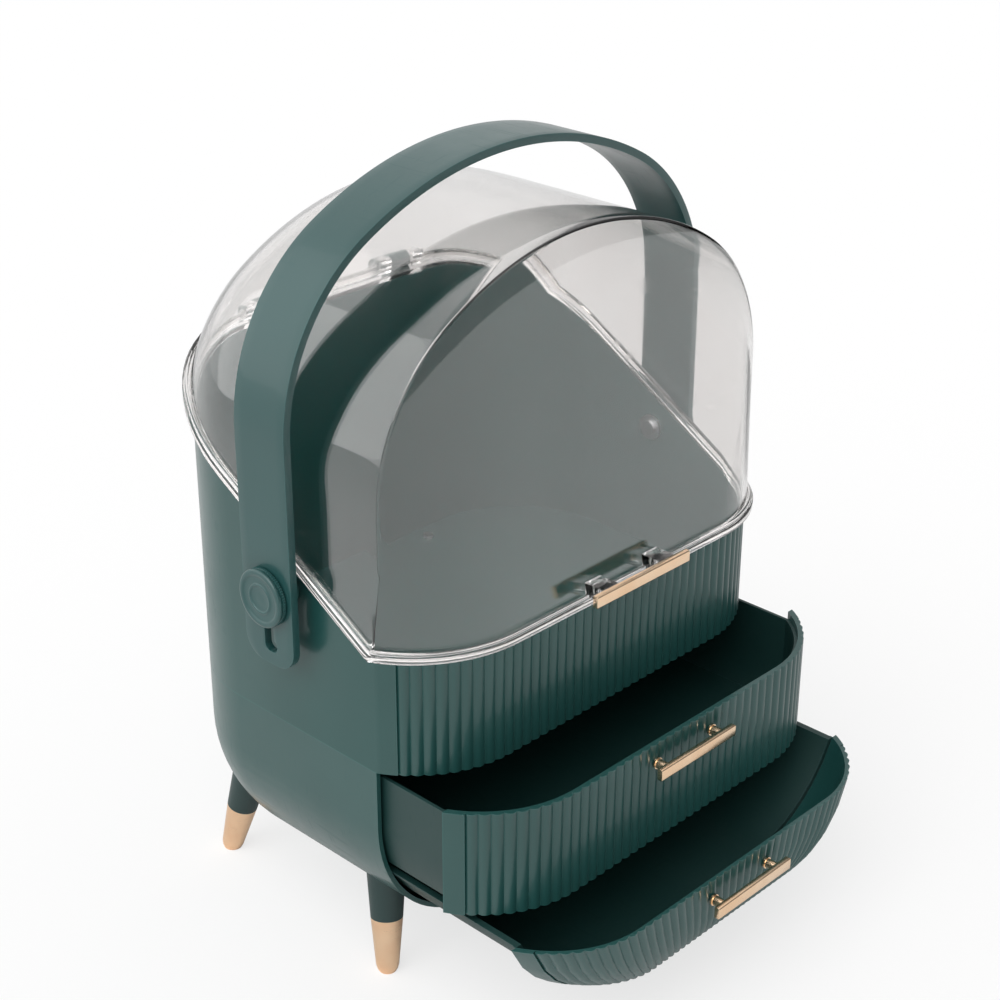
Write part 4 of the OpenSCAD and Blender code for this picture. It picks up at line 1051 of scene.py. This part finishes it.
def pull(name, solid, body, with_posts):
    low, high = (Vector(c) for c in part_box(solid))
    bpy.ops.object.select_all(action="DESELECT")
    bpy.ops.mesh.primitive_cube_add(size=1)
    bar = added(name)
    size = Vector((high.x - low.x, BAR_T * MM, BAR_H * MM))
    middle = Vector(((low.x + high.x) / 2, low.y + BAR_T * MM / 2, (low.z + high.z) / 2))
    for vertex in bar.data.vertices:
        vertex.co = Vector(vertex.co[i] * size[i] + middle[i] for i in range(3))
    # The long front edges are rounder than the rest
    round_edges(bar, 0.75, 4, lambda e: all(v.co.y < middle.y for v in e.verts)
                and abs(e.verts[0].co.x - e.verts[1].co.x) > 0.01)
    round_edges(bar, 0.22, 2, lambda e: e.calc_face_angle(0) > 1.0)
    if with_posts:
        for side in (-1, 1):
            start, end = middle.y + 0.8 * MM, high.y
            bpy.ops.object.select_all(action="DESELECT")
            bpy.ops.mesh.primitive_cylinder_add(vertices=40, radius=POST_R * MM, depth=end - start)
            post = added("post")
            edit(post)
            # A collar where the post meets the drawer: a ring is cut near its end, and the
            # band beyond the ring is extruded and swollen
            cut_z = (end - start) / 2 - COLLAR_L * MM
            bpy.ops.mesh.select_all(action="SELECT")
            bpy.ops.mesh.bisect(plane_co=(0, 0, cut_z), plane_no=(0, 0, 1))
            pick(post, "FACE", lambda f: abs(f.normal.z) < 0.5 and f.calc_center_median().z > cut_z)
            bpy.ops.mesh.extrude_region_shrink_fatten(TRANSFORM_OT_shrink_fatten={"value": 0.0})
            for v in cage(post).verts:
                if v.select:
                    v.co.x *= COLLAR_SWELL
                    v.co.y *= COLLAR_SWELL
            bmesh.update_edit_mesh(post.data)
            leave()
            spot = Vector((middle.x + side * POST_X * MM, (start + end) / 2, middle.z))
            post.data.transform(Matrix.Translation(spot) @ Matrix.Rotation(-math.pi / 2, 4, "X"))
            tidy(post)
            only(bar)
            post.select_set(True)
            bpy.ops.object.join()
    smooth(bar, 35)
    bar.data.materials.append(bar_gold)
    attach(bar, body)
    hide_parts(solid)
    print(name, "faces:", len(bar.data.polygons), "open edges:", open_edges(bar))
    return bar


pull("lid_bar", "lid_pull_bar", "lid", False)
pull("upper_drawer_bar", "upper_drawer_pull", "upper_drawer", True)
pull("lower_drawer_bar", "lower_drawer_pull", "lower_drawer", True)

# %% [markdown]
# The stage is a plain pale floor under an even sky. Three very soft suns, two from the left
# and a weak one from the right, give the shapes their modelling. The sky is full white only
# where the camera looks at it, by itself or through the lid, so that the background is white
# without more light on the organizer. A reflection finds it white too, apart from a dark
# screen low on the right, which is what gives glossy ribs their dark side in a studio.

# %% Floor, sky and soft light
AMBIENT = 0.52
SUNS = [  # name, azimuth, elevation, strength, angle across
    ("key_sun", -75, 50, 1.45, 55), ("side_sun", -130, 28, 0.65, 70), ("fill_sun", 60, 40, 0.20, 70)]
DARK_SIDE, SCREEN_STARTS, SCREEN_FULL = (0.74, -0.62, -0.05), 0.0, 0.55
WHITE, SCREEN_GREY = (1.0, 1.0, 1.0), (0.03, 0.03, 0.03)
FLOOR_R, PAPER_SHARE = 9, 0.70


def soft_sun(name, azimuth, elevation, strength, spread_angle):
    data = bpy.data.lights.new(name, "SUN")
    data.energy, data.angle = strength, math.radians(spread_angle)
    lamp = bpy.data.objects.new(name, data)
    az, el = math.radians(azimuth), math.radians(elevation)
    towards = Vector((math.sin(az) * math.cos(el), -math.cos(az) * math.cos(el), math.sin(el)))
    lamp.rotation_euler = towards.to_track_quat("Z", "Y").to_euler()
    bpy.context.scene.collection.objects.link(lamp)
    return lamp


def white_sky():
    world = bpy.data.worlds.new("studio_sky")
    bpy.context.scene.world = world
    world.use_nodes = True
    tree = world.node_tree
    tree.nodes.clear()
    out = tree.nodes.new("ShaderNodeOutputWorld")
    seen, lit, mirrored = (tree.nodes.new("ShaderNodeBackground") for _ in range(3))
    for background, strength in ((seen, 1.0), (lit, AMBIENT), (mirrored, 1.0)):
        background.inputs["Color"].default_value = (*WHITE, 1.0)
        background.inputs["Strength"].default_value = strength
    # Reflections find a dark screen low on the right, and white everywhere else
    towards = node(tree, "ShaderNodeVectorMath", operation="DOT_PRODUCT")
    wire(tree, tree.nodes.new("ShaderNodeTexCoord").outputs["Generated"], towards.inputs[0])
    towards.inputs[1].default_value = DARK_SIDE
    screen = spread(tree, towards.outputs["Value"], SCREEN_STARTS, SCREEN_FULL)
    wire(tree, mix_colour(tree, screen, WHITE, SCREEN_GREY), mirrored.inputs["Color"])
    path = tree.nodes.new("ShaderNodeLightPath")
    looked_at = math_node(tree, "MAXIMUM", path.outputs["Is Camera Ray"],
                          path.outputs["Is Transmission Ray"])
    around, choose = (tree.nodes.new("ShaderNodeMixShader") for _ in range(2))
    wire(tree, path.outputs["Is Glossy Ray"], around.inputs[0])
    wire(tree, lit.outputs[0], around.inputs[1])
    wire(tree, mirrored.outputs[0], around.inputs[2])
    wire(tree, looked_at, choose.inputs[0])
    wire(tree, around.outputs[0], choose.inputs[1])
    wire(tree, seen.outputs[0], choose.inputs[2])
    wire(tree, choose.outputs[0], out.inputs["Surface"])


def pale_floor():
    bpy.ops.object.select_all(action="DESELECT")
    bpy.ops.mesh.primitive_circle_add(vertices=96, radius=FLOOR_R, fill_type="NGON")
    floor = added("studio_floor")
    material, tree, shader, where, out = begin_material("studio_floor")
    speckle = noise(tree, where, 300.0, 3.0, 0.6)
    path = node(tree, "ShaderNodeLightPath")
    pale = mix_colour(tree, spread(tree, speckle, 0.3, 0.7), (0.80, 0.80, 0.80), (0.82, 0.82, 0.82))
    shown = mix_colour(tree, path.outputs["Is Camera Ray"], pale, (0.99, 0.99, 0.99))
    wire(tree, shown, shader.inputs["Base Color"])
    shader.inputs["Roughness"].default_value = 1.0
    shader.inputs["Specular IOR Level"].default_value = 0.0
    # To the camera the floor is mostly paper white, which keeps the shadow light
    paper, seen = node(tree, "ShaderNodeEmission"), node(tree, "ShaderNodeMixShader")
    share = math_node(tree, "MULTIPLY", path.outputs["Is Camera Ray"], PAPER_SHARE)
    wire(tree, share, seen.inputs[0])
    wire(tree, shader.outputs["BSDF"], seen.inputs[1])
    wire(tree, paper.outputs["Emission"], seen.inputs[2])
    wire(tree, seen.outputs["Shader"], out.inputs["Surface"])
    floor.data.materials.append(material)
    return floor


white_sky()
for sun in SUNS:
    soft_sun(*sun)
pale_floor()
bpy.context.scene.view_settings.view_transform = "Standard"
print("floor, sky and suns are set")
